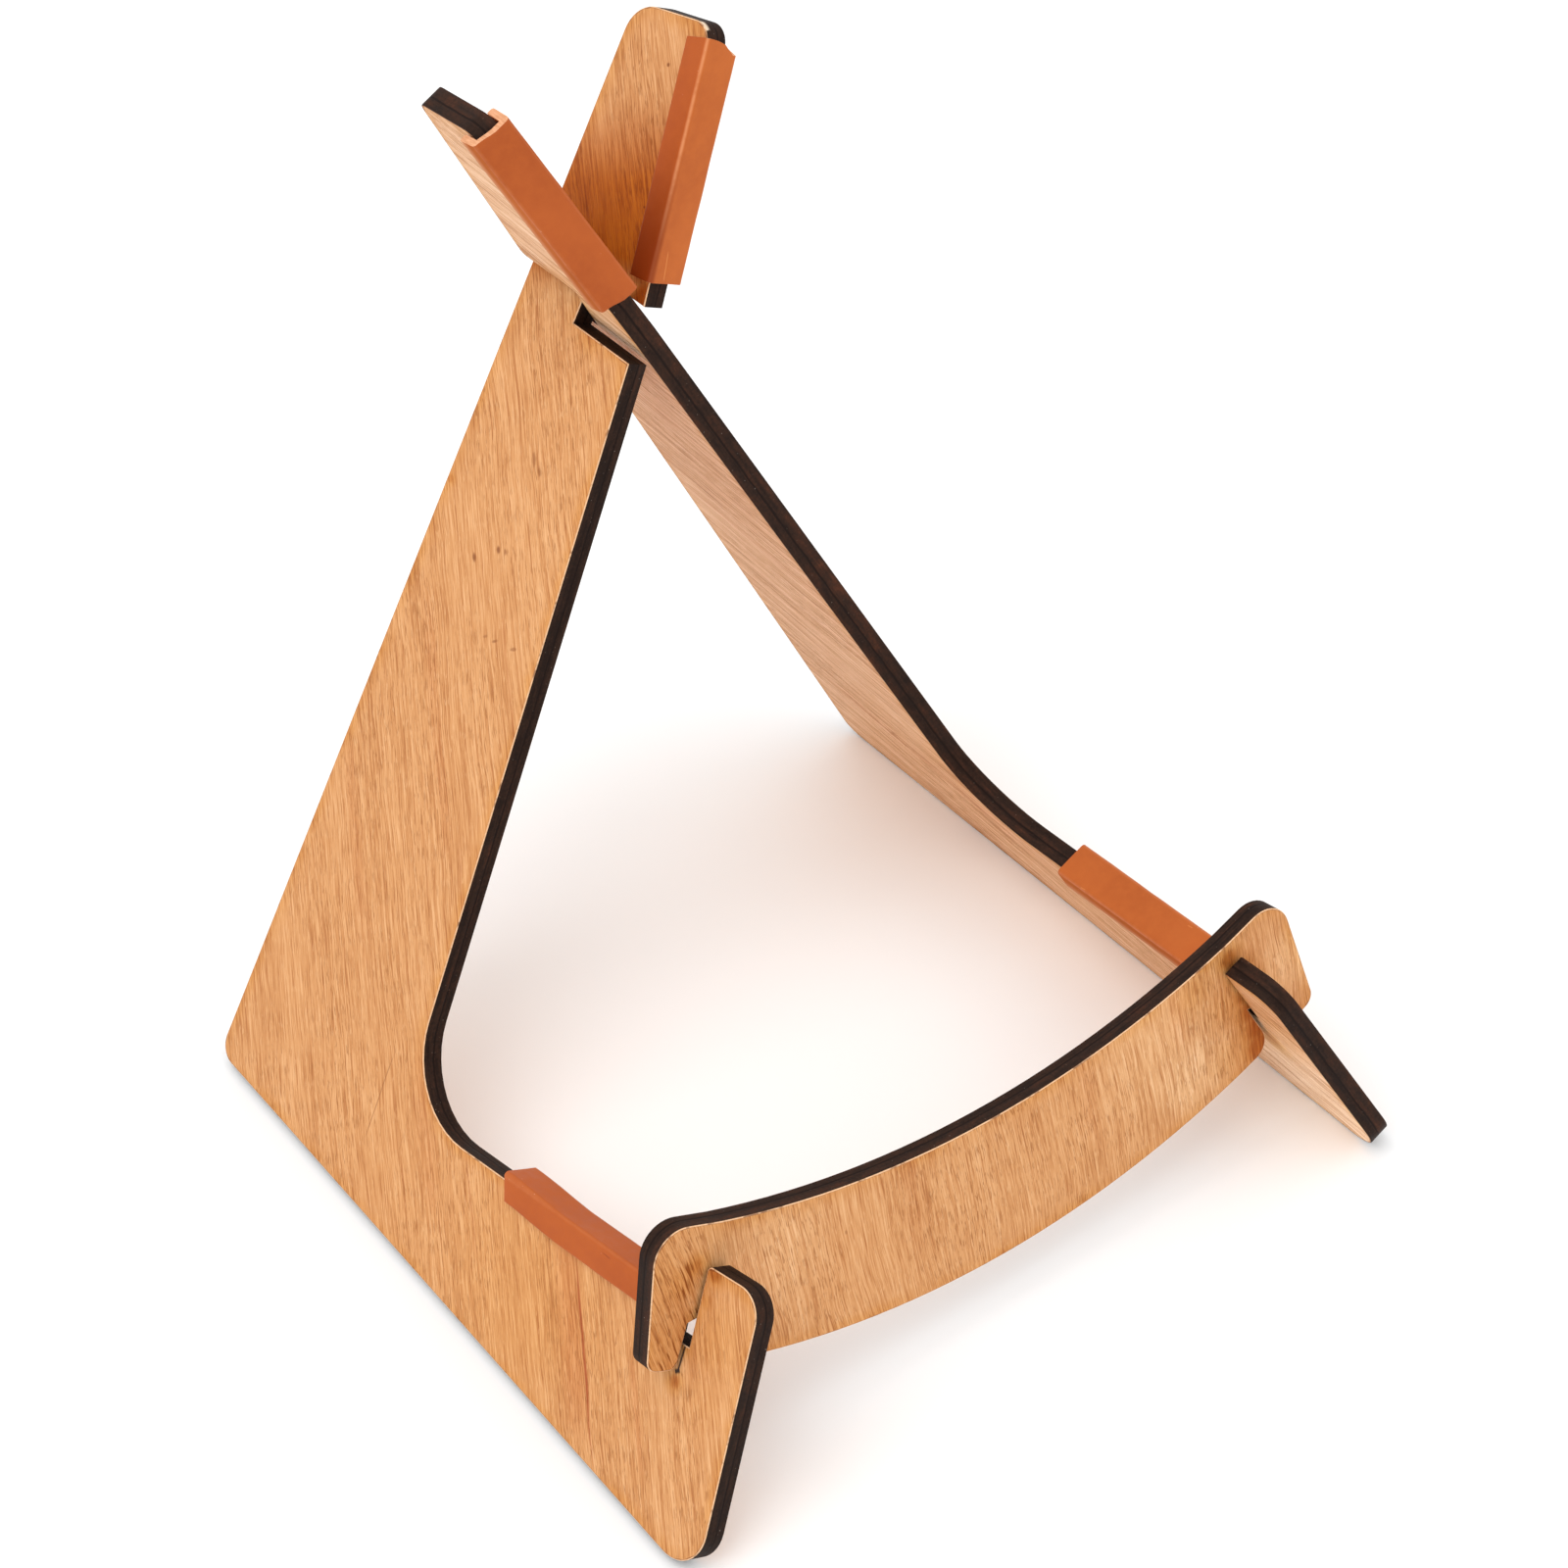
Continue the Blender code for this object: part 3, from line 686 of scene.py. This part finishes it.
def veneer(name, sheet, grain, colour, looks, marks, seed):
    """Sliced veneer, with its streaks, knots and checks, the laser's scorch over it, and
    painted shade and painted light in places.
    """
    r = Recipe(name)
    spot = r.place(sheet)
    flat = r.flatten(spot)
    wander = r.noise(flat, 24.0)
    tremble = r.noise(flat, 170.0, 1.0)
    patches = r.noise(flat, 75.0)
    lines = grain_lines(r, spot, marks["lean"], grain, wander, tremble, seed)
    wood, rough, relief = sliced_wood(r, lines, colour, marks["figure"])
    wood = grain_marks(r, wood, lines, flat, grain, colour, marks)
    # Patches of painted light
    for x, y, radius, strength in marks["pale"]:
        patch = r.within(r.distance(flat, x, y), radius, 0.2, 1.0, strength)
        wood = r.mix(patch, wood, r.tinted(wood, PAINTED_LIGHT_PATCH))
    # Bands of scorch and painted shade from the crossing board
    for rise, begin, full, fading, end in marks["bands"]:
        square = (-math.sin(math.radians(rise)), math.cos(math.radians(rise)), 0.0)
        height = r.swing(r.vector("DOT_PRODUCT", flat, square), patches, 0.004)
        band = r.times(r.fade(height, begin * MM, full * MM),
                       r.fade(height, fading * MM, end * MM, 1.0, 0.0))
        wood = r.mix(band, wood, r.tinted(wood, SCORCH_AND_SHADE))

    cut = r.node("ShaderNodeAttribute", attribute_name="from_cut").outputs["Fac"]
    burn, warmth = laser_heat(r, flat, cut, patches, looks.scorch_reach, marks["warm"])
    toasted = r.tinted(wood, looks.scorch_colour)
    wood = r.mix(burn, wood, toasted)
    wood = r.mix(r.fade(burn, 0.50, 1.0, 0.0, 0.92), wood, r.tinted(toasted, BAKED))
    fibres = r.fade(r.noise(lines, (1250.0, 80.0, 30.0), 2.0, 0.6), 0.54, 0.61)
    begin, full, before, beyond = marks["singed"]
    lean_from, lean_to, _ = marks["lean"]
    singed = r.times(r.fade(warmth, begin, full), fibres, r.fade(
        r.parts(spot)[0], lean_from * MM, lean_to * MM, before, beyond))
    wood = r.mix(singed, wood, shade_of(colour, SINGED_FIBRE))
    for line, dark in check_lines(r, flat, marks["checks"], colour, looks.char_colour,
                                  wander, tremble):
        wood = r.mix(line, wood, dark)
    rim = r.fade(cut, 0.00002, marks["rim"] * MM, 0.80, 0.0)
    wood = r.mix(rim, wood, shade_of(colour, BURNT_RIM))
    return r.finish(wood, rough, r.bump(relief, VENEER_RELIEF, 0.55), gloss=0.16)


def charred(name, sheet, looks, seed, russet, chips):
    """Laser-burnt plies: dark bands along the sheet, glue lines, striations and ash specks."""
    r = Recipe(name)
    spot = r.place(sheet)
    flat = r.flatten(spot)
    depth = r.number("ABSOLUTE", r.parts(spot)[2])
    spot = r.vector("ADD", spot, (seed, seed, 0.0))
    threads = r.noise(spot, (55.0, 55.0, 2100.0), 3.0, 0.6)
    plies = r.noise(spot, (14.0, 14.0, 520.0), 1.0)
    blotches = r.noise(spot, (190.0, 190.0, 700.0), 3.0, 0.6)
    grit = r.noise(spot, 1500.0)
    tone = r.swing(0.30, plies, 0.70)
    for layer, weight in ((threads, 0.45), (blotches, 1.10), (grit, 0.50)):
        tone = r.swing(tone, layer, weight)
    thick = sheet["thick"]
    outward = r.fade(depth, 0.52 * thick, 0.60 * thick, russet, 0.25 * russet)
    tone = r.number("ADD", tone, outward, clamp=True)
    char = r.ramp(tone, (
        (0.12, shade_of(looks.char_colour, DEEP_CHAR)),
        (0.40, looks.char_colour),
        (0.60, shade_of(looks.char_colour, LIGHT_CHAR)),
        (0.86, looks.russet_colour),
    ))
    line = r.swing(GLUE_LINE_DEPTH * thick, blotches, 0.0005)
    seam = r.fade(r.apart(depth, line), 0.00010, 0.00034, 0.85, 0.0)
    char = r.mix(seam, char, shade_of(looks.char_colour, GLUE_LINE))
    specks = r.fade(r.noise(spot, 2100.0, 1.0), 0.76, 0.82, 0.0, 0.65)
    char = r.mix(specks, char, ASH)
    for x, y, radius in chips:
        gap = r.number("MULTIPLY_ADD", blotches, 0.9 * radius * MM, r.distance(flat, x, y))
        bare = r.times(r.within(gap, radius, 1.25, 1.45, 0.95),
                       r.fade(depth, 0.0006, 0.0015, 1.0, 0.0))
        char = r.mix(bare, char, BARE_WOOD)
    relief = r.number("MULTIPLY_ADD", grit, 0.5, r.times(threads, 0.5))
    relief = r.number("MULTIPLY_ADD", seam, -0.5, relief)
    rough = r.fade(blotches, 0.30, 0.70, 0.50, 0.68)
    return r.finish(char, rough, r.bump(relief, CHAR_RELIEF, 0.5), gloss=0.06)


def rubbed(name, sheet, colour, seed):
    """The eased outer arris: clean pale wood, broken here and there by char."""
    r = Recipe(name)
    spot = r.vector("ADD", r.place(sheet), (seed, seed, 0.0))
    worn = r.noise(spot, 240.0, 3.0, 0.6)
    fine = r.noise(spot, 1500.0)
    wood = r.mix(r.fade(fine, 0.35, 0.70), colour, shade_of(colour, WORN_ARRIS))
    wood = r.mix(r.fade(worn, 0.54, 0.66, 0.0, 0.8), wood, NICKED_ARRIS)
    return r.finish(wood, 0.6, r.bump(fine, ARRIS_RELIEF, 0.5), gloss=0.3)


def silicone(name, grip, looks, seed, inner_wall=False):
    """Moulded silicone: die lines along its length, painted highlights on its arrises and
    lips, painted shade and sheen, bloom, dust and nicks.
    """
    r = Recipe(name)
    skin = looks.silicone_colour
    half, deep = grip["half"], grip["deep"]
    spot = r.place(grip)
    across, out, length = r.parts(spot)
    shifted = r.vector("ADD", spot, (seed, seed, seed))
    clouds = r.noise(shifted, (60.0, 60.0, 34.0), 3.0)
    mottle = r.noise(shifted, 420.0, 3.0, 0.6)
    die_lines = r.noise(shifted, (2400.0, 2400.0, 26.0))
    base = r.mix(r.fade(clouds, 0.30, 0.70), shade_of(skin, CLOUD_DARK),
                 shade_of(skin, CLOUD_PALE))
    base = r.mix(r.fade(mottle, 0.35, 0.70, 0.0, 0.30), base, shade_of(skin, MOTTLE))

    crown = r.fade(out, -0.0008, -0.0002)
    # Painted highlight along the crown's arrises
    arris = r.fade(r.number("ABSOLUTE", across), half - 0.0008, half - 0.0002)
    arris = r.times(arris, crown, r.fade(mottle, 0.25, 0.60, 0.55, 1.0), grip["arris_highlight"])
    base = r.mix(arris, base, shade_of(skin, ARRIS_HIGHLIGHT))
    # Painted highlight along the flanges' feet
    lip = r.fade(out, -deep + 0.0001, -deep + 0.0007, 0.40, 0.0)
    base = r.mix(lip, base, shade_of(skin, LIP_HIGHLIGHT))
    # Painted shade on the outer wall near the lower end, where the other board's grip shades
    # it
    painted_end_shade = r.times(r.fade(across, half - 0.0016, half - 0.0004),
                      r.fade(length, 0.004, 0.031, grip["painted_end_shade"], 0.0))
    base = r.mix(painted_end_shade, base, shade_of(skin, PAINTED_END_SHADE))
    base = r.mix(r.times(crown, grip["bleached"]), base, r.tinted(base, BLEACHED))

    dust = r.fade(r.noise(shifted, 1900.0, 1.0), 0.755, 0.81, 0.0, 0.8)
    dust = r.times(dust, r.fade(clouds, 0.48, 0.66))
    base = r.mix(dust, base, DUST)
    nick = r.fade(r.noise(shifted, (900.0, 900.0, 160.0), 1.0), 0.765, 0.81, 0.0, 0.55)
    base = r.mix(nick, base, shade_of(skin, NICK))
    for x, z0, z1, width, strength in grip["scratches"]:
        leaning = r.number("MULTIPLY_ADD", length, 0.10, x * MM)
        line = r.within(r.apart(across, leaning), width, 0.2, 1.0, strength)
        from_middle = r.apart(length, (z0 + z1) / 2.0 * MM)
        ends = r.within(from_middle, abs(z1 - z0) / 2.0, 0.6, 1.0)
        base = r.mix(r.times(line, ends, crown), base, shade_of(skin, SCRATCH))

    rough = r.fade(mottle, 0.30, 0.70, 0.40, 0.52)
    rough = r.number("MULTIPLY_ADD", dust, 0.2, rough)
    relief = r.number("MULTIPLY_ADD", die_lines, 0.5, r.times(mottle, 0.7))
    relief = r.number("MULTIPLY_ADD", nick, -1.2, relief)
    # The inner wall has no gloss; a painted grazing sheen, strongest at its lip, stands in for
    # the reflection
    if inner_wall:
        base = r.tinted(base, INNER_WALL_SHEEN)
        lip = r.fade(out, -deep, -0.35 * deep, 1.0, 0.0)
        base = r.mix(lip, base, shade_of(skin, INNER_LIP_SHEEN))
    return r.finish(base, rough, r.bump(relief, SILICONE_RELIEF, 0.5),
                    gloss=0.0 if inner_wall else 0.17)


def cut_silicone(name, grip, looks, seed):
    """The knife-cut end of a grip, paler and drier than its skin."""
    r = Recipe(name)
    fresh = looks.cut_colour
    spot = r.vector("ADD", r.place(grip), (seed, 0.0, seed))
    drag = r.noise(spot, (3200.0, 420.0, 900.0), 3.0)
    grit = r.noise(spot, 1900.0)
    base = r.mix(r.fade(drag, 0.30, 0.70), shade_of(fresh, CUT_DARK),
                 shade_of(fresh, CUT_PALE))
    base = r.mix(r.fade(grit, 0.66, 0.76, 0.0, 0.5), base, TORN_SILICONE)
    relief = r.bump(r.number("ADD", drag, grit), SILICONE_RELIEF, 0.5)
    return r.finish(base, r.fade(grit, 0.3, 0.7, 0.56, 0.70), relief, gloss=0.3)


# ---------------------------------------------------------------- mesh helpers

def only(piece):
    """Selects one object alone and makes it active."""
    if bpy.context.mode != "OBJECT":
        bpy.ops.object.mode_set(mode="OBJECT")
    bpy.ops.object.select_all(action="DESELECT")
    piece.select_set(True)
    bpy.context.view_layer.objects.active = piece


def edit(piece, kind):
    """Opens one object in edit mode with nothing selected, for its edges or its points."""
    only(piece)
    bpy.ops.object.mode_set(mode="EDIT")
    bpy.ops.mesh.select_mode(type=kind)
    bpy.ops.mesh.select_all(action="DESELECT")


def copy_of(node, name):
    """A merged copy of a CAD node, its flat faces made whole again."""
    only(frame["nodes"][node])
    bpy.ops.object.duplicate()
    piece = bpy.context.view_layer.objects.active
    bpy.ops.object.parent_clear(type="CLEAR_KEEP_TRANSFORM")
    piece.name = name
    piece.data.name = name
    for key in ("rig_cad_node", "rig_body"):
        if key in piece:
            del piece[key]
    bpy.ops.mesh.customdata_custom_splitnormals_clear()
    bpy.ops.object.mode_set(mode="EDIT")
    bpy.ops.mesh.select_all(action="SELECT")
    bpy.ops.mesh.remove_doubles(threshold=MERGE_BELOW)
    bpy.ops.mesh.dissolve_limited(angle_limit=FLATTER_THAN)
    bpy.ops.object.mode_set(mode="OBJECT")
    return piece


def sheet_of(lie):
    """Origin, axes and thickness of a flat sheet, read from its CAD node."""
    mesh = frame["nodes"][lie["node"]].data
    normals = np.array([face.normal for face in mesh.polygons])
    areas = np.array([face.area for face in mesh.polygons])
    outside = normals @ np.array(lie["outward"]) > ASLANT
    best = max(range(len(areas)), key=lambda i: areas[i] if outside[i] else 0.0)
    same = normals @ normals[best] > FACING
    out = Vector((normals[same] * areas[same, None]).sum(0)).normalized()
    along = UP.cross(out).normalized()
    if along.dot(Vector(lie["forward"])) < 0.0:
        along = -along
    up = (UP - out * out.z).normalized()
    spots = np.array([v.co for v in mesh.vertices])
    depths = spots @ np.array(out)
    origin = out * max(depths)
    if lie["from_corner"]:
        origin = origin + along * min(spots @ np.array(along)) + up * min(spots @ np.array(up))
    return {"origin": origin, "axes": (along, up, along.cross(up)), "out": out,
            "along": along, "up": up, "thick": max(depths) - min(depths)}


def outline_of(piece, sheet):
    """The broad outer face's outline, as points along the foot and up the face."""
    faces = [face for face in piece.data.polygons if face.normal.dot(sheet["out"]) > FACING]
    broad = max(faces, key=lambda face: face.area)
    points = []
    for index in broad.vertices:
        offset = piece.data.vertices[index].co - sheet["origin"]
        points.append((offset.dot(sheet["along"]), offset.dot(sheet["up"])))
    if len(points) < FEWEST_POINTS:
        raise RuntimeError("the broad face of %s isn't whole" % piece.name)
    return np.array(points)


def round_rims(piece, direction, width, segments):
    """Bevels the edges between the faces square to a direction and the walls round them."""
    edit(piece, "EDGE")
    bm = bmesh.from_edit_mesh(piece.data)
    for edge in bm.edges:
        slopes = [abs(face.normal.dot(direction)) for face in edge.link_faces]
        if len(slopes) == 2 and max(slopes) > FACING and min(slopes) < ASLANT:
            edge.select_set(True)
    bmesh.update_edit_mesh(piece.data)
    bpy.ops.mesh.bevel(offset=width, offset_type="OFFSET", segments=segments, profile=0.5,
                       affect="EDGES", clamp_overlap=True)
    bpy.ops.object.mode_set(mode="OBJECT")


def rule_lines(piece, origin, direction, low, high, step):
    """Cuts mesh lines across a piece at even spacing along a direction."""
    only(piece)
    bpy.ops.object.mode_set(mode="EDIT")
    count = max(1, round((high - low) / step))
    for index in range(1, count):
        bpy.ops.mesh.select_all(action="SELECT")
        spot = origin + direction * (low + (high - low) * index / count)
        bpy.ops.mesh.bisect(plane_co=spot, plane_no=direction, threshold=ON_LINE)
    bpy.ops.object.mode_set(mode="OBJECT")


def distance_to(outline, points):
    """Distance from each point to the nearest side of an outline."""
    nearest = np.full(len(points), np.inf)
    for start, end in zip(outline, np.roll(outline, -1, axis=0)):
        run = end - start
        share = np.clip((points - start) @ run / (run @ run), 0.0, 1.0)
        gap = np.linalg.norm(points - start - share[:, None] * run, axis=1)
        nearest = np.minimum(nearest, gap)
    return nearest


def note_distance(piece, sheet, outline, inset):
    """Writes each point's distance from the nearest cut as an attribute, in metres."""
    count = len(piece.data.vertices)
    spots = np.zeros(count * 3)
    piece.data.vertices.foreach_get("co", spots)
    spots = spots.reshape(-1, 3) - np.array(sheet["origin"])
    flat = np.stack([spots @ np.array(sheet["along"]), spots @ np.array(sheet["up"])], 1)
    far = np.maximum(distance_to(outline, flat) - inset, 0.0)
    attribute = piece.data.attributes.new("from_cut", "FLOAT", "POINT")
    attribute.data.foreach_set("value", far.astype(np.float32))


def settle(piece, node):
    """Puts a finished piece in its CAD node's place."""
    only(piece)
    bpy.ops.object.shade_smooth_by_angle(angle=SMOOTH_BELOW)
    piece.data.update()
    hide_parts(node)
    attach(piece, "root")


def finish_with(piece, finishes, pick):
    """Gives a piece its finishes, and each face the one whose number pick returns."""
    piece.data.materials.clear()
    for finish in finishes:
        piece.data.materials.append(finish)
    for face in piece.data.polygons:
        face.material_index = pick(face)


def make_sheet_piece(name, grain, marks):
    """A plywood piece: eased arrises, a fine mesh for the scorch, and its four finishes."""
    looks = bpy.context.scene.stand_boards
    lie = SHEETS[name]
    seed = lie["seed"]
    sheet = sheet_of(lie)
    piece = copy_of(lie["node"], name)
    outline = outline_of(piece, sheet)
    round_rims(piece, sheet["out"], looks.arris_width, ARRIS_SEGMENTS)
    low = outline.min(axis=0)
    high = outline.max(axis=0)
    rule_lines(piece, sheet["origin"], sheet["along"], low[0], high[0], looks.grid_step)
    rule_lines(piece, sheet["origin"], sheet["up"], low[1], high[1], looks.grid_step)
    note_distance(piece, sheet, outline, looks.arris_width)

    outer = {**PLAIN_BOARD, **marks}
    inner = {**outer, "checks": (), "bands": (), "pale": outer["inner_painted_light"],
             "figure": outer["inner_figure"], "rim": outer["inner_rim"]}
    finishes = (
        veneer(name + "_face_veneer", sheet, grain, looks.veneer_colour, looks, outer, seed),
        veneer(name + "_inner_veneer", sheet, grain, looks.inner_colour, looks, inner,
               seed + INNER_SEED_STEP),
        charred(name + "_charred_edge", sheet, looks, seed, lie["russet"], outer["chips"]),
        rubbed(name + "_rubbed_arris", sheet, looks.arris_colour, seed),
    )

    def pick(face):
        slope = face.normal.dot(sheet["out"])
        if slope > FACING:
            return 0
        if slope < -FACING:
            return 1
        return 3 if slope > PALE_SLANT and lie["pale_arris"] else 2

    finish_with(piece, finishes, pick)
    settle(piece, lie["node"])


def grip_of(node, board):
    """Origin, axes and sizes of a grip strip, read from its CAD node and its board."""
    mesh = frame["nodes"][node].data
    spots = np.array([v.co for v in mesh.vertices])
    across = board["out"].copy()
    edge_on = [face for face in mesh.polygons if abs(face.normal.dot(across)) < EDGE_ON]
    out = max(edge_on, key=lambda face: face.area).normal.copy()
    run = across.cross(out).normalized()
    if run.z < 0.0:
        run = -run
    wide = spots @ np.array(across)
    deep = spots @ np.array(out)
    long = spots @ np.array(run)
    origin = across * ((wide.min() + wide.max()) / 2.0) + out * deep.max() + run * long.min()
    return {"origin": origin, "axes": (across, out, across.cross(out)), "run": run, "out": out,
            "across": across, "half": (wide.max() - wide.min()) / 2.0,
            "deep": deep.max() - deep.min(), "long": long.max() - long.min()}


def draw_ends(piece, grip):
    """Draws the ends of a strip along and off its edge, with a soft falloff."""
    edit(piece, "VERT")
    for end, side, lip, reach, slide, lift in grip["pulls"]:
        bpy.ops.mesh.select_all(action="DESELECT")
        bm = bmesh.from_edit_mesh(piece.data)
        for vert in bm.verts:
            offset = vert.co - grip["origin"]
            from_end = abs(offset.dot(grip["run"]) - end * grip["long"])
            from_level = abs(offset.dot(grip["out"]) + lip * grip["deep"])
            outward = side * offset.dot(grip["across"])
            if side:
                held = (from_end < HOLD_END_CORNER and from_level < HOLD_CORNER
                        and outward > grip["half"] - HOLD_CORNER)
            else:
                held = from_end < HOLD_WHOLE_END
            vert.select_set(bool(held))
        bmesh.update_edit_mesh(piece.data)
        bpy.ops.transform.translate(
            value=(grip["run"] * slide + grip["out"] * lift) * MM, use_proportional_edit=True,
            proportional_edit_falloff="SMOOTH", proportional_size=reach * MM)
    bpy.ops.object.mode_set(mode="OBJECT")


def make_grip(node, name, board, wear):
    """A grip strip: sliced fine, its ends eased and its walls gently uneven."""
    looks = bpy.context.scene.stand_grips
    grip = {**grip_of(node, board), **wear}
    seed = grip["seed"]
    piece = copy_of(node, name)
    round_rims(piece, grip["run"], looks.end_round, END_SEGMENTS)
    rule_lines(piece, grip["origin"], grip["run"], 0.0, grip["long"], looks.slice_step)
    rule_lines(piece, grip["origin"], grip["across"], -grip["half"], grip["half"],
               looks.slice_step)
    draw_ends(piece, grip)
    clouds = bpy.data.textures.new(name + "_waves", "CLOUDS")
    clouds.noise_scale = WAVE_LENGTH
    wave = piece.modifiers.new("waves", "DISPLACE")
    wave.texture = clouds
    wave.texture_coords = "LOCAL"
    wave.strength = looks.waviness
    wave.mid_level = 0.5
    only(piece)
    bpy.ops.object.modifier_apply(modifier=wave.name)
    finishes = (
        silicone(name + "_silicone", grip, looks, seed),
        cut_silicone(name + "_cut_end", grip, looks, seed),
        silicone(name + "_inner_wall", grip, looks, seed, inner_wall=True),
    )

    def pick(face):
        offset = (face.center - grip["origin"]).dot(grip["across"])
        if abs(face.normal.dot(grip["run"])) > CUT_SLANT:
            return 1
        inward = face.normal.dot(grip["across"]) < INWARD
        return 2 if inward and offset < WALL_SKIN - grip["half"] else 0

    finish_with(piece, finishes, pick)
    settle(piece, node)


# ---------------------------------------------------------------- operators

class STAND_OT_left_board(bpy.types.Operator):
    """Makes the left side board, notched at its front edge."""
    bl_idname = "stand.left_board"
    bl_label = "Left side board"

    def execute(self, context):
        marks = {"warm": LEFT_WARM, "bands": LEFT_SCORCH_SHADE_BANDS, "knots": LEFT_KNOTS,
                 "streaks": LEFT_STREAKS, "checks": LEFT_CHECKS, "chips": LEFT_CHIPS}
        make_sheet_piece("left_board", context.scene.stand_boards.left_grain, marks)
        return {"FINISHED"}


class STAND_OT_right_board(bpy.types.Operator):
    """Makes the right side board, notched at its back edge."""
    bl_idname = "stand.right_board"
    bl_label = "Right side board"

    def execute(self, context):
        marks = {"warm": RIGHT_WARM, "knots": RIGHT_KNOTS, "streaks": RIGHT_STREAKS,
                 "inner_figure": 1.7, "inner_painted_light": RIGHT_PAINTED_LIGHT}
        make_sheet_piece("right_board", context.scene.stand_boards.right_grain, marks)
        return {"FINISHED"}


class STAND_OT_crossbar(bpy.types.Operator):
    """Makes the curved crossbar that locks the two boards at the front."""
    bl_idname = "stand.crossbar"
    bl_label = "Crossbar"

    def execute(self, context):
        marks = {"warm": BAR_WARM, "knots": BAR_KNOTS, "streaks": BAR_STREAKS,
                 "pale": BAR_PAINTED_LIGHT, "lean": (-67.0, -73.5, 0.13),
                 "singed": (0.12, 0.42, 0.30, 0.95)}
        make_sheet_piece("crossbar", context.scene.stand_boards.bar_grain, marks)
        return {"FINISHED"}


class STAND_OT_grips(bpy.types.Operator):
    """Makes the four silicone grips on the upper edges and the arms."""
    bl_idname = "stand.grips"
    bl_label = "Grips"

    def execute(self, context):
        boards = {side: sheet_of(SHEETS[side + "_board"]) for side in ("left", "right")}
        for key, wear in GRIPS.items():
            make_grip(key + "_grip_strip", key + "_grip", boards[key.split("_")[0]],
                      {**PLAIN_GRIP, **wear})
        return {"FINISHED"}


def soft_light(name, softbox, power):
    """A square area light at its place, turned to its aim."""
    place, aim, width = softbox
    bpy.ops.object.select_all(action="DESELECT")
    bpy.ops.object.light_add(type="AREA", location=place)
    lamp = bpy.context.view_layer.objects.active
    lamp.name = name
    lamp.data.shape = "SQUARE"
    lamp.data.size = width
    lamp.data.energy = power
    lamp.rotation_mode = "QUATERNION"
    lamp.rotation_quaternion = (Vector(aim) - Vector(place)).to_track_quat("-Z", "Y")


class STAND_OT_stage(bpy.types.Operator):
    """Makes the floor, the soft studio light and the camera."""
    bl_idname = "stand.stage"
    bl_label = "Stage"

    def execute(self, context):
        looks = context.scene.stand_stage
        bpy.ops.object.select_all(action="DESELECT")
        bpy.ops.mesh.primitive_plane_add(size=FLOOR_WIDTH, location=(0.0, 0.0, 0.0))
        floor = bpy.context.view_layer.objects.active
        floor.name = "studio_floor"
        r = Recipe("studio_floor_paint")
        floor.data.materials.append(r.finish(looks.floor_colour, 0.75, gloss=0.2))

        soft_light("key_softbox", KEY_SOFTBOX, looks.key_light)
        soft_light("fill_softbox", FILL_SOFTBOX, looks.fill_light)
        room = context.scene.world or bpy.data.worlds.new("studio_room")
        context.scene.world = room
        room.use_nodes = True
        glow = room.node_tree.nodes["Background"]
        glow.inputs["Color"].default_value = (1.0, 1.0, 1.0, 1.0)
        glow.inputs["Strength"].default_value = looks.room_light
        context.scene.view_settings.view_transform = "Standard"

        heading, height, tilt = looks.camera_turn
        back = Vector((math.sin(heading) * math.cos(height),
                       -math.cos(heading) * math.cos(height), math.sin(height)))
        right = Vector((math.cos(heading), math.sin(heading), 0.0))
        up = back.cross(right)
        right, up = (right * math.cos(tilt) + up * math.sin(tilt),
                     up * math.cos(tilt) - right * math.sin(tilt))
        bpy.ops.object.select_all(action="DESELECT")
        bpy.ops.object.camera_add(location=looks.camera_place)
        camera = bpy.context.view_layer.objects.active
        camera.name = "photo_camera"
        camera.rotation_mode = "QUATERNION"
        camera.rotation_quaternion = Matrix((right, up, back)).transposed().to_quaternion()
        camera.data.sensor_width = SENSOR_WIDTH
        camera.data.lens = looks.lens
        camera.data.clip_start = CLIP_START
        camera.data.clip_end = CLIP_END
        context.scene.camera = camera
        return {"FINISHED"}


class STAND_PT_panel(bpy.types.Panel):
    """Lists the stand's pieces, sizes and colours."""
    bl_idname = "STAND_PT_panel"
    bl_label = "Ukulele Stand"
    bl_space_type = "VIEW_3D"
    bl_region_type = "UI"
    bl_category = "Stand"

    def draw(self, context):
        for kind in OPERATORS:
            self.layout.operator(kind.bl_idname)
        for group in (context.scene.stand_boards, context.scene.stand_grips,
                      context.scene.stand_stage):
            box = self.layout.box()
            for key in group.__annotations__:
                box.prop(group, key)


SETTINGS = (StandBoardSettings, StandGripSettings, StandStageSettings)
OPERATORS = (STAND_OT_left_board, STAND_OT_right_board, STAND_OT_crossbar, STAND_OT_grips,
             STAND_OT_stage)


def register():
    for kind in (*SETTINGS, *OPERATORS, STAND_PT_panel):
        bpy.utils.register_class(kind)
    bpy.types.Scene.stand_boards = PointerProperty(type=StandBoardSettings)
    bpy.types.Scene.stand_grips = PointerProperty(type=StandGripSettings)
    bpy.types.Scene.stand_stage = PointerProperty(type=StandStageSettings)


def unregister():
    del bpy.types.Scene.stand_stage
    del bpy.types.Scene.stand_grips
    del bpy.types.Scene.stand_boards
    for kind in reversed((*SETTINGS, *OPERATORS, STAND_PT_panel)):
        bpy.utils.unregister_class(kind)


def main():
    register()
    bpy.ops.stand.left_board()
    bpy.ops.stand.right_board()
    bpy.ops.stand.crossbar()
    bpy.ops.stand.grips()
    bpy.ops.stand.stage()


if __name__ == "__main__":
    main()
